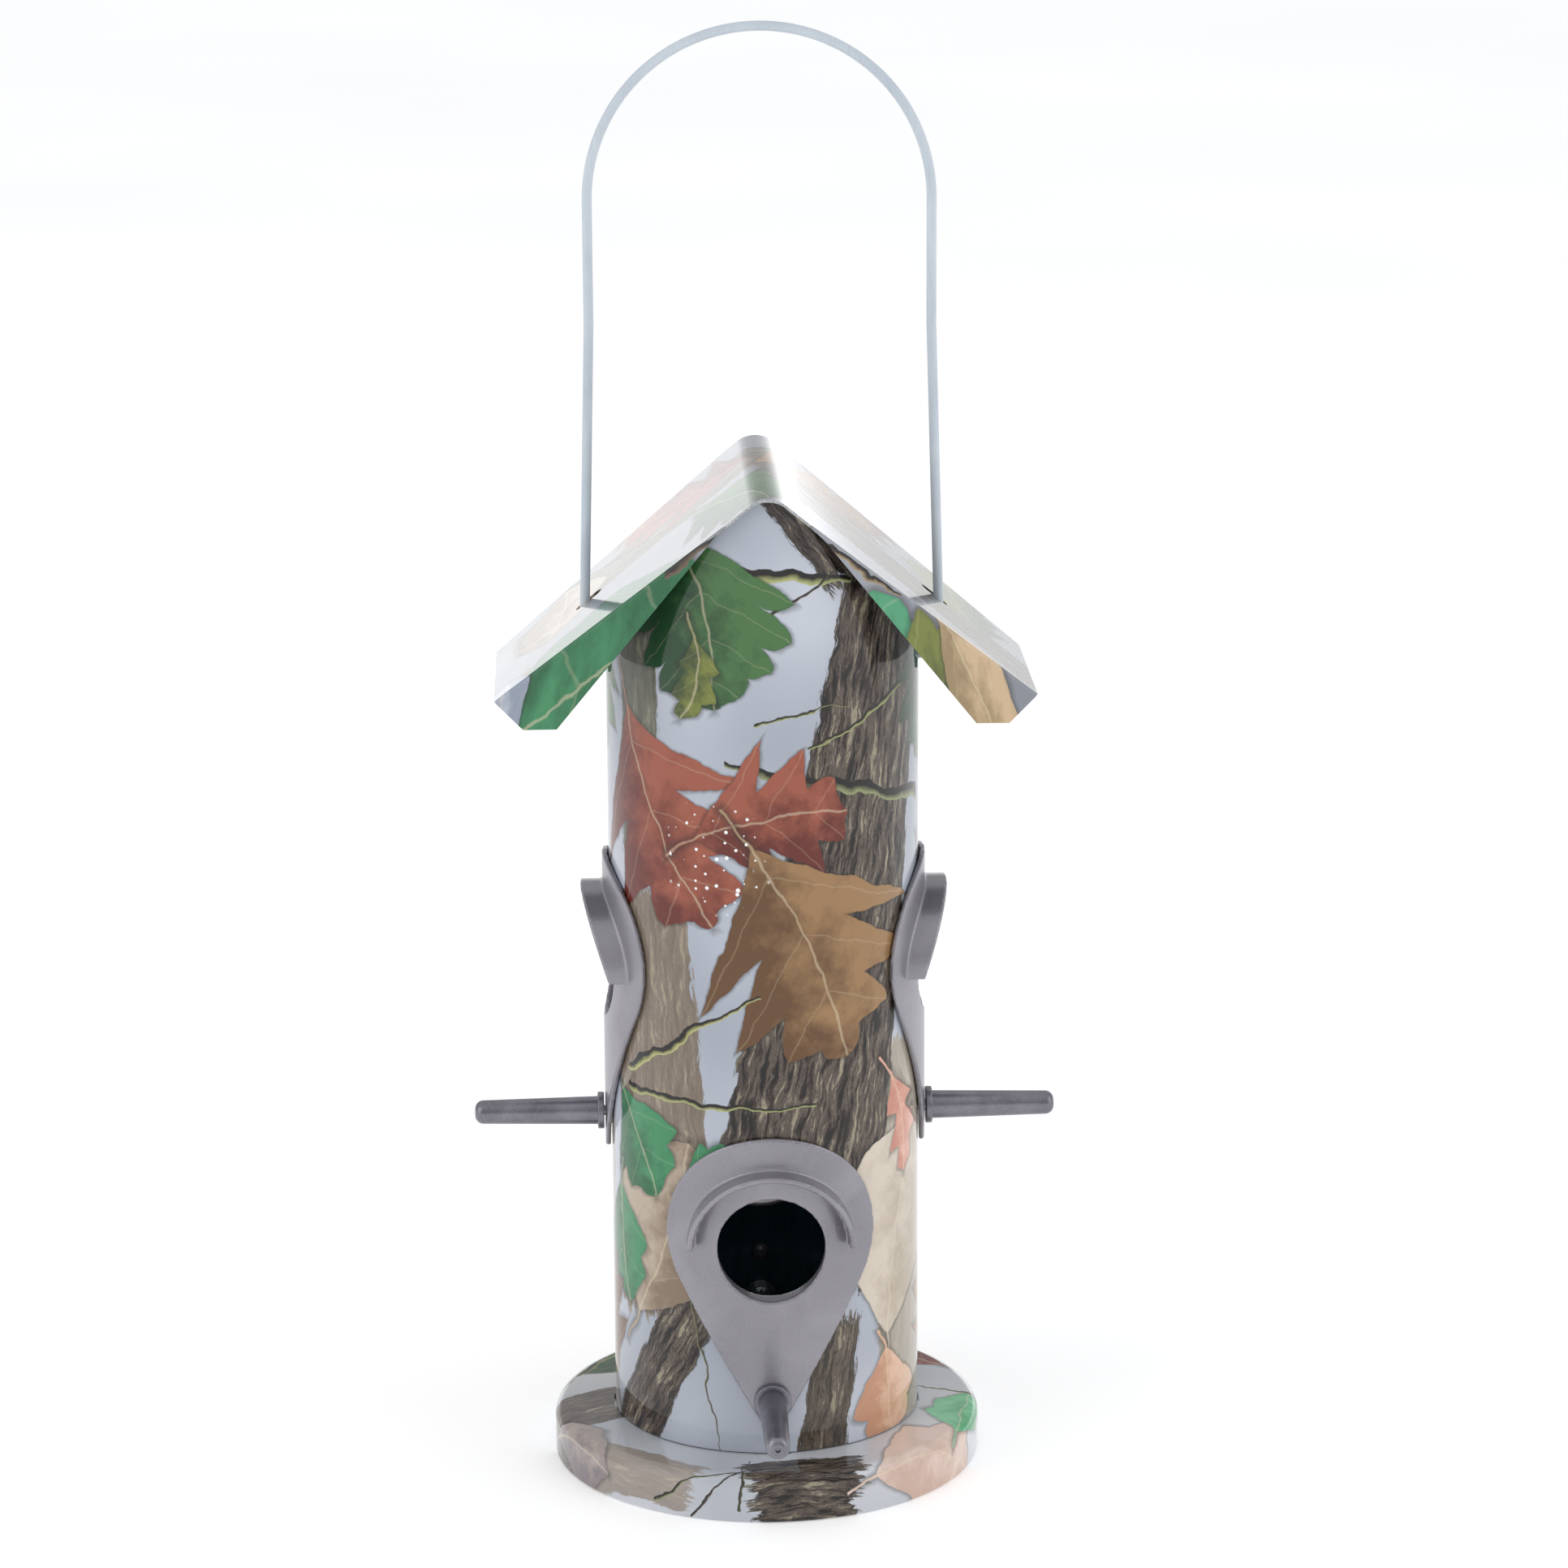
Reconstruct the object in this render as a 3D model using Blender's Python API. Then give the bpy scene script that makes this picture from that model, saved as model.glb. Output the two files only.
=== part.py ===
"""Hanging sheet-metal tube feeder: gable roof, wire bail, four seed ports with perches.

Metres, +Z up.  The origin is on the tube's axis at the underside of the base pan.  The
front port faces -Y and the roof's ridge runs along Y.
"""

import math

import bmesh
import bpy
from mathutils import Euler, Matrix, Vector
from mathutils.geometry import convex_hull_2d

# ---- Sheet metal ----
SHEET = 0.0006
GAP = 0.0003
MERGE = 0.000004
CUTTER_REACH = 0.055

# ---- Tube ----
TUBE_RADIUS = 0.038
TUBE_SIDES = 72
SEAM_ANGLE = math.radians(45)
SEAM_WIDTH = 0.004
SEAM_HEIGHT = 0.0009
TAB_WIDTH = 0.008
TAB_REACH = 0.0050
TAB_ROOT = 0.0015

# ---- Base pan ----
PAN_RADIUS = 0.0532
PAN_HEIGHT = 0.012
PAN_TOP_BEND = 0.003
PAN_HEM_BEND = 0.001
PAN_HEM_WIDTH = 0.0045
PAN_SIDES = 56

# ---- Roof ----
ROOF_PITCH = math.radians(39.3)
RIDGE_TOP = 0.2507
RIDGE_BEND = 0.007
ROOF_HALF_SPAN = 0.0648
RIDGE_HALF_LENGTH = 0.041
EAVE_HALF_LENGTH = 0.027
FLAP_START = 0.070
FLAP_CORNERS = ((0.0073, 0.0144), (0.0009, 0.0096))
SLOT_LENGTH = 0.008
SLOT_WIDTH = 0.0035
SLOT_CENTRE = 0.0419
ROOF_CLEARANCE = 0.0004

# ---- Wire bail ----
WIRE_RADIUS = 0.0012
BAIL_PIVOT = 0.204
BAIL_TOP = 0.3562
BAIL_HALF_WIDTH = 0.041
BAIL_KNEE = 0.285
BAIL_FOOT_HALF_WIDTH = 0.0431
BAIL_FOOT_BEND = 0.003
BAIL_HOOK_BEND = 0.0022
BAIL_HOOK_INNER = 0.0315
BAIL_HOOK_DROP = 0.006
BAIL_HOLE = 0.0018

# ---- Seed ports ----
PORTS = (
    ("front", 0.0, 0.0649),
    ("right", 90.0, 0.1273),
    ("rear", 180.0, 0.0649),
    ("left", 270.0, 0.1273),
)
PLATE_INNER = TUBE_RADIUS + GAP
PLATE_OUTER = 0.0396
PLATE_HALF_WIDTH = 0.0275
PLATE_HALF_HEIGHT = 0.025
PLATE_CENTRE = 0.0035
PLATE_TIP_RADIUS = 0.0015
PLATE_TIP = -0.046
PORT_HOLE = 0.0131
SLEEVE_RADIUS = 0.0143
SLEEVE_END = 0.0342
SHIELD_END = 0.025
HOOD_RADIUS = 0.0205
HOOD_WALL = 0.0014
HOOD_REACH_TOP = 0.045
HOOD_REACH_SIDE = 0.0385
STAKE_DROP = 0.027
STAKE_RADIUS = 0.0015
STAKE_HEAD = 0.0025
STAKE_HEAD_FLATNESS = 0.6

# ---- Perches and their screws ----
PERCH_DROP = 0.0385
PERCH_ROOT = PLATE_OUTER + GAP
PERCH_TIP = 0.072
COLLAR_RADIUS = 0.0046
COLLAR_LENGTH = 0.0016
PERCH_ROOT_RADIUS = 0.0035
PERCH_TIP_RADIUS = 0.0029
SCREW_RADIUS = 0.0013
SCREW_LENGTH = 0.0145
SCREW_HEAD = 0.003
SCREW_HEAD_HEIGHT = 0.0018
SCREW_CROWN = 0.0011
SCREW_CROWN_BEND = 0.0004
SCREW_RECESS_LENGTH = 0.0036
SCREW_RECESS_WIDTH = 0.0007
SCREW_HOLE = 0.0017
WASHER_RADIUS = 0.0037
WASHER_THICKNESS = 0.0006
WASHER_FACE = TUBE_RADIUS - SHEET - 0.0005


# ---- Modelling helpers ----
def clear_scene():
    for obj in list(bpy.data.objects):
        bpy.data.objects.remove(obj, do_unlink=True)


def make_material(name, colour, roughness, metallic):
    made = bpy.data.materials.new(name)
    made.use_nodes = True
    shader = made.node_tree.nodes["Principled BSDF"]
    shader.inputs["Base Color"].default_value = (*colour, 1.0)
    shader.inputs["Roughness"].default_value = roughness
    shader.inputs["Metallic"].default_value = metallic
    return made


def mesh_of(bm, name):
    bmesh.ops.recalc_face_normals(bm, faces=bm.faces)
    mesh = bpy.data.meshes.new(name)
    bm.to_mesh(mesh)
    bm.free()
    return mesh


def add_object(name, mesh, material, parent=None):
    """A named object that holds the mesh, shaded smooth across its gentle edges."""
    mesh.materials.clear()
    mesh.materials.append(material)
    mesh.shade_smooth()
    mesh.set_sharp_from_angle(angle=math.radians(35))
    obj = bpy.data.objects.new(name, mesh)
    obj.parent = parent
    bpy.context.scene.collection.objects.link(obj)
    return obj


def add_empty(name, location, turn=0.0, parent=None):
    empty = bpy.data.objects.new(name, None)
    empty.location = location
    empty.rotation_euler = Euler((0.0, 0.0, turn))
    empty.parent = parent
    bpy.context.scene.collection.objects.link(empty)
    return empty


def with_modifiers(obj):
    """The mesh of a working object with its modifiers applied; the object goes."""
    bpy.context.view_layer.update()
    graph = bpy.context.evaluated_depsgraph_get()
    mesh = bpy.data.meshes.new_from_object(obj.evaluated_get(graph))
    bpy.data.objects.remove(obj, do_unlink=True)
    bm = bmesh.new()
    bm.from_mesh(mesh)
    bmesh.ops.remove_doubles(bm, verts=bm.verts, dist=MERGE)
    bmesh.ops.dissolve_degenerate(bm, edges=bm.edges, dist=MERGE)
    bm.to_mesh(mesh)
    bm.free()
    return mesh


def combined(base, tool, operation):
    """The base mesh with the tool mesh joined on, cut away or kept in common."""
    holder = bpy.data.objects.new("holder", base)
    cutter = bpy.data.objects.new("cutter", tool)
    for obj in (holder, cutter):
        bpy.context.scene.collection.objects.link(obj)
    step = holder.modifiers.new("combine", "BOOLEAN")
    step.operation = operation
    step.solver = "EXACT"
    step.object = cutter
    result = with_modifiers(holder)
    bpy.data.objects.remove(cutter, do_unlink=True)
    return result


def prism(outline, low, high, placement):
    """A flat outline (u, v) made solid from w = low to w = high, then placed."""
    bm = bmesh.new()
    base = bm.faces.new([bm.verts.new((u, v, low)) for u, v in outline])
    grown = bmesh.ops.extrude_face_region(bm, geom=[base])["geom"]
    top = [item for item in grown if isinstance(item, bmesh.types.BMVert)]
    bmesh.ops.translate(bm, verts=top, vec=(0.0, 0.0, high - low))
    bmesh.ops.transform(bm, matrix=placement, verts=bm.verts)
    return mesh_of(bm, "prism")


def turned(profile, sides, placement, is_loop):
    """A profile of (radius, height) spun about its height axis, then placed.

    An open profile starts and ends on the axis, where its poles are closed.
    """
    bm = bmesh.new()
    points = [bm.verts.new((radius, 0.0, height)) for radius, height in profile]
    edges = [bm.edges.new(pair) for pair in zip(points, points[1:])]
    if is_loop:
        edges.append(bm.edges.new((points[-1], points[0])))
    bmesh.ops.spin(
        bm,
        geom=points + edges,
        axis=(0.0, 0.0, 1.0),
        cent=(0.0, 0.0, 0.0),
        angle=math.tau,
        steps=sides,
        use_merge=True,
        use_duplicate=False,
    )
    bmesh.ops.remove_doubles(bm, verts=bm.verts, dist=1e-6)
    bmesh.ops.transform(bm, matrix=placement, verts=bm.verts)
    return mesh_of(bm, "turned")


def arc(centre, radius, start, end, steps):
    """Points on an arc in a plane, from the start angle to the end angle, both included."""
    points = []
    for step in range(steps + 1):
        angle = start + (end - start) * step / steps
        points.append((centre[0] + radius * math.cos(angle), centre[1] + radius * math.sin(angle)))
    return points


# Placements.  OUTWARD turns a profile's height axis to the front port's axis, -Y, so that
# heights become distances from the tube's axis.  ACROSS lays an outline in the X-Z plane.
# UPRIGHT turns a ring by half a side, so that no port's centre line falls on a facet's edge.
UPRIGHT = Matrix.Rotation(math.pi / TUBE_SIDES, 4, "Z")
OUTWARD = Matrix.Rotation(math.radians(90), 4, "X")
ACROSS = Matrix.Rotation(math.radians(90), 4, "X")


def outward_at(height):
    """OUTWARD, on an axis raised by the given height."""
    return Matrix.Translation((0.0, 0.0, height)) @ OUTWARD


def port_placement(turn_degrees, height):
    """From the front port's own frame to where a port sits on the tube."""
    return Matrix.Translation((0.0, 0.0, height)) @ Matrix.Rotation(math.radians(turn_degrees), 4, "Z")


def disc(radius, near, far, sides, placement):
    """A plain cylinder from near to far along its placed axis."""
    return turned([(0.0, near), (radius, near), (radius, far), (0.0, far)], sides, placement, False)


# ---- Roof section, shared by the roof and by the tube's gable cut ----
def roof_section(inset):
    """The roof's outline (x, z) from eave to eave, inset square to the sheet."""
    centre = (0.0, RIDGE_TOP - RIDGE_BEND)
    apex = centre[1] + RIDGE_BEND / math.cos(ROOF_PITCH)
    eave_height = apex - ROOF_HALF_SPAN * math.tan(ROOF_PITCH)
    eave_x = ROOF_HALF_SPAN - inset * math.sin(ROOF_PITCH)
    eave_z = eave_height - inset * math.cos(ROOF_PITCH)
    quarter = math.radians(90)
    ridge = arc(centre, RIDGE_BEND - inset, quarter + ROOF_PITCH, quarter - ROOF_PITCH, 8)
    return [(-eave_x, eave_z), *ridge, (eave_x, eave_z)]


# ---- Tube ----
def seam_bar():
    """The flattened lock seam, a low ridge down the outside of the tube."""
    inner = TUBE_RADIUS - SHEET / 2
    outer = TUBE_RADIUS + SEAM_HEIGHT
    half = SEAM_WIDTH / 2
    outline = [
        (inner, -half),
        (outer - SHEET / 2, -half),
        (outer, -half + SHEET),
        (outer, half),
        (inner, half),
    ]
    spin = Matrix.Rotation(SEAM_ANGLE, 4, "Z")
    return prism(outline, PAN_HEIGHT + 2 * GAP, RIDGE_TOP, spin)


def foot_tab(angle):
    """A tab that passes down through the base pan and is bent in under its top."""
    under = PAN_HEIGHT - SHEET - GAP
    inner = TUBE_RADIUS - SHEET
    outline = [
        (TUBE_RADIUS, PAN_HEIGHT + TAB_ROOT),
        (inner, PAN_HEIGHT + TAB_ROOT),
        (inner, under),
        (TUBE_RADIUS - TAB_REACH, under),
        (TUBE_RADIUS - TAB_REACH, under - SHEET),
        (TUBE_RADIUS, under - SHEET),
    ]
    spin = Matrix.Rotation(angle, 4, "Z")
    return prism(outline, -TAB_WIDTH / 2, TAB_WIDTH / 2, spin @ ACROSS)


def tube_mesh():
    foot = PAN_HEIGHT + GAP
    inner = TUBE_RADIUS - SHEET
    wall = [(inner, foot), (TUBE_RADIUS, foot), (TUBE_RADIUS, RIDGE_TOP), (inner, RIDGE_TOP)]
    mesh = turned(wall, TUBE_SIDES, UPRIGHT, True)
    mesh = combined(mesh, seam_bar(), "UNION")
    for quarter in range(4):
        mesh = combined(mesh, foot_tab(math.radians(90) * quarter), "UNION")

    above = RIDGE_TOP + PAN_HEIGHT
    section = roof_section(SHEET + ROOF_CLEARANCE)
    outline = [(section[0][0], above), *section, (section[-1][0], above)]
    reach = TUBE_RADIUS + PAN_HEIGHT
    mesh = combined(mesh, prism(outline, -reach, reach, ACROSS), "DIFFERENCE")

    near, far = TUBE_RADIUS / 2, CUTTER_REACH
    for _, turn, height in PORTS:
        place = port_placement(turn, height)
        holes = (
            (SLEEVE_RADIUS + GAP, 0.0, 36),
            (STAKE_RADIUS + GAP, -STAKE_DROP, 12),
            (SCREW_HOLE, -PERCH_DROP, 12),
        )
        for radius, rise, sides in holes:
            hole = disc(radius, near, far, sides, place @ outward_at(rise))
            mesh = combined(mesh, hole, "DIFFERENCE")
    across = Matrix.Rotation(math.radians(90), 4, "Y")
    bail_hole = disc(BAIL_HOLE, -far, far, 16, Matrix.Translation((0.0, 0.0, BAIL_PIVOT)) @ across)
    return combined(mesh, bail_hole, "DIFFERENCE")


# ---- Base pan ----
def pan_mesh():
    """A shallow pan, open below: its rim is hemmed inwards to stand on."""
    quarter = math.radians(90)
    top_centre = (PAN_RADIUS - PAN_TOP_BEND, PAN_HEIGHT - PAN_TOP_BEND)
    hem_centre = (PAN_RADIUS - PAN_HEM_BEND, PAN_HEM_BEND)
    hem_end = PAN_RADIUS - PAN_HEM_WIDTH
    profile = [
        (0.0, PAN_HEIGHT),
        *arc(top_centre, PAN_TOP_BEND, quarter, 0.0, 4),
        *arc(hem_centre, PAN_HEM_BEND, 0.0, -quarter, 2),
        (hem_end, 0.0),
        (hem_end, SHEET),
        *arc(hem_centre, PAN_HEM_BEND - SHEET, -quarter, 0.0, 2),
        *arc(top_centre, PAN_TOP_BEND - SHEET, 0.0, quarter, 4),
        (0.0, PAN_HEIGHT - SHEET),
    ]
    mesh = turned(profile, PAN_SIDES, UPRIGHT, False)
    slot = [
        (TUBE_RADIUS - SHEET - GAP, -TAB_WIDTH / 2 - GAP),
        (TUBE_RADIUS + GAP, -TAB_WIDTH / 2 - GAP),
        (TUBE_RADIUS + GAP, TAB_WIDTH / 2 + GAP),
        (TUBE_RADIUS - SHEET - GAP, TAB_WIDTH / 2 + GAP),
    ]
    for quarter_turn in range(4):
        spin = Matrix.Rotation(math.radians(90) * quarter_turn, 4, "Z")
        cutter = prism(slot, PAN_HEIGHT - 2 * SHEET, PAN_HEIGHT + SHEET, spin)
        mesh = combined(mesh, cutter, "DIFFERENCE")
    return mesh


# ---- Roof ----
def flap_corners(eave, start, normal):
    """The lower corners of an end flap, folded square to its panel from eave to start."""
    line = (start - eave) / FLAP_START
    return [eave + line * distance - normal * depth for distance, depth in FLAP_CORNERS]


def doubled_sheet(faces, outer, inner):
    """A closed sheet from faces of point names, with each point's outer and inner place."""
    bm = bmesh.new()
    top = {name: bm.verts.new(place) for name, place in outer.items()}
    under = {name: bm.verts.new(place) for name, place in inner.items()}
    uses = {}
    for names in faces:
        bm.faces.new([top[name] for name in names])
        bm.faces.new([under[name] for name in reversed(names)])
        for pair in zip(names, [*names[1:], names[0]]):
            uses.setdefault(frozenset(pair), []).append(pair)
    for pairs in uses.values():
        if len(pairs) == 1:
            a, b = pairs[0]
            bm.faces.new([top[b], top[a], under[a], under[b]])
    return mesh_of(bm, "sheet")


def roof_mesh():
    """One folded sheet: two panels, a soft ridge bend and four end flaps."""
    outer = {}
    inner = {}
    faces = []
    outer_section = roof_section(0.0)
    inner_section = roof_section(SHEET)
    last = len(outer_section) - 2
    for step in range(1, last + 1):
        for end in (-1, 1):
            for places, section in ((outer, outer_section), (inner, inner_section)):
                x, z = section[step]
                places["ridge", step, end] = Vector((x, end * RIDGE_HALF_LENGTH, z))
    for step in range(1, last):
        pair = ("ridge", step), ("ridge", step + 1)
        faces.append([(*pair[0], -1), (*pair[1], -1), (*pair[1], 1), (*pair[0], 1)])

    for side, tangent in ((-1, 1), (1, last)):
        eave_x, eave_z = outer_section[0] if side < 0 else outer_section[-1]
        normal = Vector((side * math.sin(ROOF_PITCH), 0.0, math.cos(ROOF_PITCH)))
        start_x = eave_x - side * FLAP_START * math.cos(ROOF_PITCH)
        start_z = eave_z + FLAP_START * math.sin(ROOF_PITCH)
        for end in (-1, 1):
            eave = Vector((eave_x, end * EAVE_HALF_LENGTH, eave_z))
            start = Vector((start_x, end * RIDGE_HALF_LENGTH, start_z))
            outward = -end * side * (eave - start).cross(normal).normalized()
            names = [("start", side, end), ("eave", side, end)]
            for name, place in zip(names, (start, eave)):
                outer[name] = place
                inner[name] = place - (normal + outward) * SHEET
            for number, place in enumerate(flap_corners(eave, start, normal)):
                name = ("flap", side, end, number)
                names.append(name)
                outer[name] = place
                inner[name] = place - outward * SHEET
            faces.append([names[0], names[1], names[3], names[2]])
        panel = [("ridge", tangent, -1), ("ridge", tangent, 1)]
        panel += [("start", side, 1), ("eave", side, 1), ("eave", side, -1), ("start", side, -1)]
        faces.append(panel)

    mesh = doubled_sheet(faces, outer, inner)
    for side in (-1, 1):
        mesh = combined(mesh, slot_cutter(side), "DIFFERENCE")
    return mesh


def slot_cutter(side):
    """A round-ended slot, long way down the slope, square to the panel."""
    straight = (SLOT_LENGTH - SLOT_WIDTH) / 2
    quarter = math.radians(90)
    outline = arc((straight, 0.0), SLOT_WIDTH / 2, -quarter, quarter, 6)
    outline += arc((-straight, 0.0), SLOT_WIDTH / 2, quarter, 3 * quarter, 6)
    apex = RIDGE_TOP - RIDGE_BEND + RIDGE_BEND / math.cos(ROOF_PITCH)
    height = apex - SLOT_CENTRE * math.tan(ROOF_PITCH)
    tilt = Matrix.Rotation(side * ROOF_PITCH, 4, "Y")
    place = Matrix.Translation((side * SLOT_CENTRE, 0.0, height)) @ tilt
    return prism(outline, -SLOT_WIDTH, SLOT_WIDTH, place)


# ---- Wire bail ----
def bail_route():
    """Half of the wire's centre line (x, z), from its hooked end up to the top."""
    quarter = math.radians(90)
    foot = (BAIL_FOOT_HALF_WIDTH - BAIL_FOOT_BEND, BAIL_PIVOT + BAIL_FOOT_BEND)
    hook = (BAIL_HOOK_INNER + BAIL_HOOK_BEND, BAIL_PIVOT - BAIL_HOOK_BEND)
    arch = (0.0, BAIL_TOP - BAIL_HALF_WIDTH)
    return [
        (BAIL_HOOK_INNER, BAIL_PIVOT - BAIL_HOOK_DROP),
        *arc(hook, BAIL_HOOK_BEND, 2 * quarter, quarter, 4),
        *arc(foot, BAIL_FOOT_BEND, -quarter, 0.0, 5),
        (BAIL_HALF_WIDTH, BAIL_KNEE),
        *arc(arch, BAIL_HALF_WIDTH, 0.0, quarter, 14),
    ]


def add_bail(name, material, parent):
    right = bail_route()
    left = [(-x, z) for x, z in reversed(right[:-1])]
    curve = bpy.data.curves.new(name, "CURVE")
    curve.dimensions = "3D"
    curve.bevel_depth = WIRE_RADIUS
    curve.bevel_resolution = 3
    curve.render_resolution_u = 0
    curve.use_fill_caps = True
    spline = curve.splines.new("POLY")
    route = right + left
    spline.points.add(len(route) - 1)
    for point, (x, z) in zip(spline.points, route):
        point.co = (x, 0.0, z - BAIL_PIVOT, 1.0)
    curve.materials.append(material)
    obj = bpy.data.objects.new(name, curve)
    obj.parent = parent
    bpy.context.scene.collection.objects.link(obj)
    return obj


# ---- Seed ports ----
def plate_outline():
    """The teardrop (x, z) as seen along the port's axis, from its flat pattern."""
    flat = []
    for step in range(36):
        angle = math.tau * step / 36
        x = PLATE_HALF_WIDTH * math.cos(angle)
        flat.append((x, PLATE_CENTRE + PLATE_HALF_HEIGHT * math.sin(angle)))
    flat += arc((0.0, PLATE_TIP), PLATE_TIP_RADIUS, math.radians(-180), 0.0, 8)
    hull = [flat[index] for index in convex_hull_2d([Vector(point) for point in flat])]
    edge = []
    for (x0, z0), (x1, z1) in zip(hull, hull[1:] + hull[:1]):
        pieces = max(1, round(math.hypot(x1 - x0, z1 - z0) / (2 * HOOD_WALL)))
        for piece in range(pieces):
            x = x0 + (x1 - x0) * piece / pieces
            z = z0 + (z1 - z0) * piece / pieces
            edge.append((PLATE_OUTER * math.sin(x / PLATE_OUTER), z))
    return edge


def hood_mesh():
    """The half-ring visor over the hole, its front edge raked back to the sides."""
    ring = arc((0.0, 0.0), HOOD_RADIUS, 0.0, math.radians(180), 18)
    ring += arc((0.0, 0.0), HOOD_RADIUS - HOOD_WALL, math.radians(180), 0.0, 18)
    mesh = prism(ring, TUBE_RADIUS / 2, CUTTER_REACH, OUTWARD)
    inside = (PLATE_INNER + PLATE_OUTER) / 2
    core = disc(inside, -HOOD_RADIUS, HOOD_RADIUS * 2, TUBE_SIDES, UPRIGHT)
    mesh = combined(mesh, core, "DIFFERENCE")
    reach = 2 * CUTTER_REACH
    rise = HOOD_RADIUS
    slope = (HOOD_REACH_TOP - HOOD_REACH_SIDE) / rise
    front = [
        (-(HOOD_REACH_SIDE - slope * rise), -rise),
        (-(HOOD_REACH_SIDE + 2 * slope * rise), 2 * rise),
        (-reach, 2 * rise),
        (-reach, -rise),
    ]
    sideways = Matrix(((0, 0, 1, 0), (1, 0, 0, 0), (0, 1, 0, 0), (0, 0, 0, 1)))
    return combined(mesh, prism(front, -reach, reach, sideways), "DIFFERENCE")


def sleeve_mesh():
    """The sleeve through the tube wall; its upper half runs on as a seed shield."""
    mesh = disc(SLEEVE_RADIUS, SHIELD_END, PLATE_OUTER, 36, OUTWARD)
    inside = (PLATE_INNER + PLATE_OUTER) / 2
    core = disc(inside, -2 * SLEEVE_RADIUS, 2 * SLEEVE_RADIUS, TUBE_SIDES, UPRIGHT)
    mesh = combined(mesh, core, "INTERSECT")
    wide = 2 * SLEEVE_RADIUS
    lower = [(-wide, -wide), (wide, -wide), (wide, 0.0), (-wide, 0.0)]
    cutter = prism(lower, SHIELD_END / 2, SLEEVE_END, OUTWARD)
    return combined(mesh, cutter, "DIFFERENCE")


def stake_mesh():
    """The moulded peg below the hole, with its head formed inside the tube."""
    seat = TUBE_RADIUS - SHEET - GAP - GAP / 2
    rim = seat - GAP
    dome = arc((0.0, rim), STAKE_HEAD, math.radians(-90), 0.0, 3)
    low_dome = [(radius, rim + (height - rim) * STAKE_HEAD_FLATNESS) for radius, height in dome]
    profile = [*low_dome, (STAKE_HEAD, seat), (STAKE_RADIUS, seat), (STAKE_RADIUS, PLATE_INNER + GAP)]
    profile += [(0.0, PLATE_INNER + GAP)]
    return turned(profile, 12, outward_at(-STAKE_DROP), False)


def port_mesh():
    """Plate, sleeve, hood and peg, moulded as one, in the front port's own frame."""
    low, high = -CUTTER_REACH, CUTTER_REACH
    shell = turned(
        [(PLATE_INNER, low), (PLATE_OUTER, low), (PLATE_OUTER, high), (PLATE_INNER, high)],
        TUBE_SIDES,
        UPRIGHT,
        True,
    )
    teardrop = prism(plate_outline(), 0.0, CUTTER_REACH, OUTWARD)
    mesh = combined(shell, teardrop, "INTERSECT")
    mesh = combined(mesh, sleeve_mesh(), "UNION")
    mesh = combined(mesh, disc(PORT_HOLE, 0.0, CUTTER_REACH, 36, OUTWARD), "DIFFERENCE")
    mesh = combined(mesh, hood_mesh(), "UNION")
    mesh = combined(mesh, stake_mesh(), "UNION")
    screw_hole = disc(SCREW_HOLE, TUBE_RADIUS / 2, CUTTER_REACH, 12, outward_at(-PERCH_DROP))
    return combined(mesh, screw_hole, "DIFFERENCE")


# ---- Perches, screws and washers ----
def perch_mesh():
    """A turned peg with a collar, a slight taper, a round dimpled tip and a blind bore."""
    shoulder = PERCH_ROOT + COLLAR_LENGTH
    tip = (0.0, PERCH_TIP - PERCH_TIP_RADIUS)
    rounded = arc(tip, PERCH_TIP_RADIUS, 0.0, math.radians(75), 4)
    bore = SCREW_RADIUS + GAP
    bore_end = WASHER_FACE + SCREW_LENGTH + GAP
    chamfer = COLLAR_LENGTH / 4
    profile = [
        (0.0, bore_end),
        (bore, bore_end),
        (bore, PERCH_ROOT),
        (COLLAR_RADIUS, PERCH_ROOT),
        (COLLAR_RADIUS, shoulder - chamfer),
        (COLLAR_RADIUS - chamfer, shoulder),
        (PERCH_ROOT_RADIUS, shoulder),
        *rounded,
        (0.0, rounded[-1][1] - GAP),
    ]
    return turned(profile, 16, outward_at(-PERCH_DROP), False)


def screw_mesh():
    """A pan-head screw from inside the tube into the perch."""
    seat = WASHER_FACE - WASHER_THICKNESS - GAP
    tip = WASHER_FACE + SCREW_LENGTH
    top = seat - SCREW_HEAD_HEIGHT
    profile = [
        (0.0, top),
        (SCREW_HEAD / 2, top),
        (SCREW_HEAD - SCREW_CROWN_BEND, top + SCREW_CROWN_BEND),
        (SCREW_HEAD, seat - SCREW_CROWN),
        (SCREW_HEAD, seat),
        (SCREW_RADIUS, seat),
        (SCREW_RADIUS, tip - SCREW_RADIUS / 2),
        (SCREW_RADIUS / 2, tip),
        (0.0, tip),
    ]
    mesh = turned(profile, 12, outward_at(-PERCH_DROP), False)
    long, short = SCREW_RECESS_LENGTH / 2, SCREW_RECESS_WIDTH / 2
    for half_x, half_z in ((long, short), (short, long)):
        recess = [(-half_x, -half_z), (half_x, -half_z), (half_x, half_z), (-half_x, half_z)]
        cutter = prism(recess, top - SHEET, top + SCREW_CROWN, outward_at(-PERCH_DROP))
        mesh = combined(mesh, cutter, "DIFFERENCE")
    return mesh


def washer_mesh():
    inner_face = WASHER_FACE - WASHER_THICKNESS
    profile = [
        (SCREW_HOLE, inner_face),
        (WASHER_RADIUS, inner_face),
        (WASHER_RADIUS, WASHER_FACE),
        (SCREW_HOLE, WASHER_FACE),
    ]
    return turned(profile, 16, outward_at(-PERCH_DROP), True)


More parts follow.
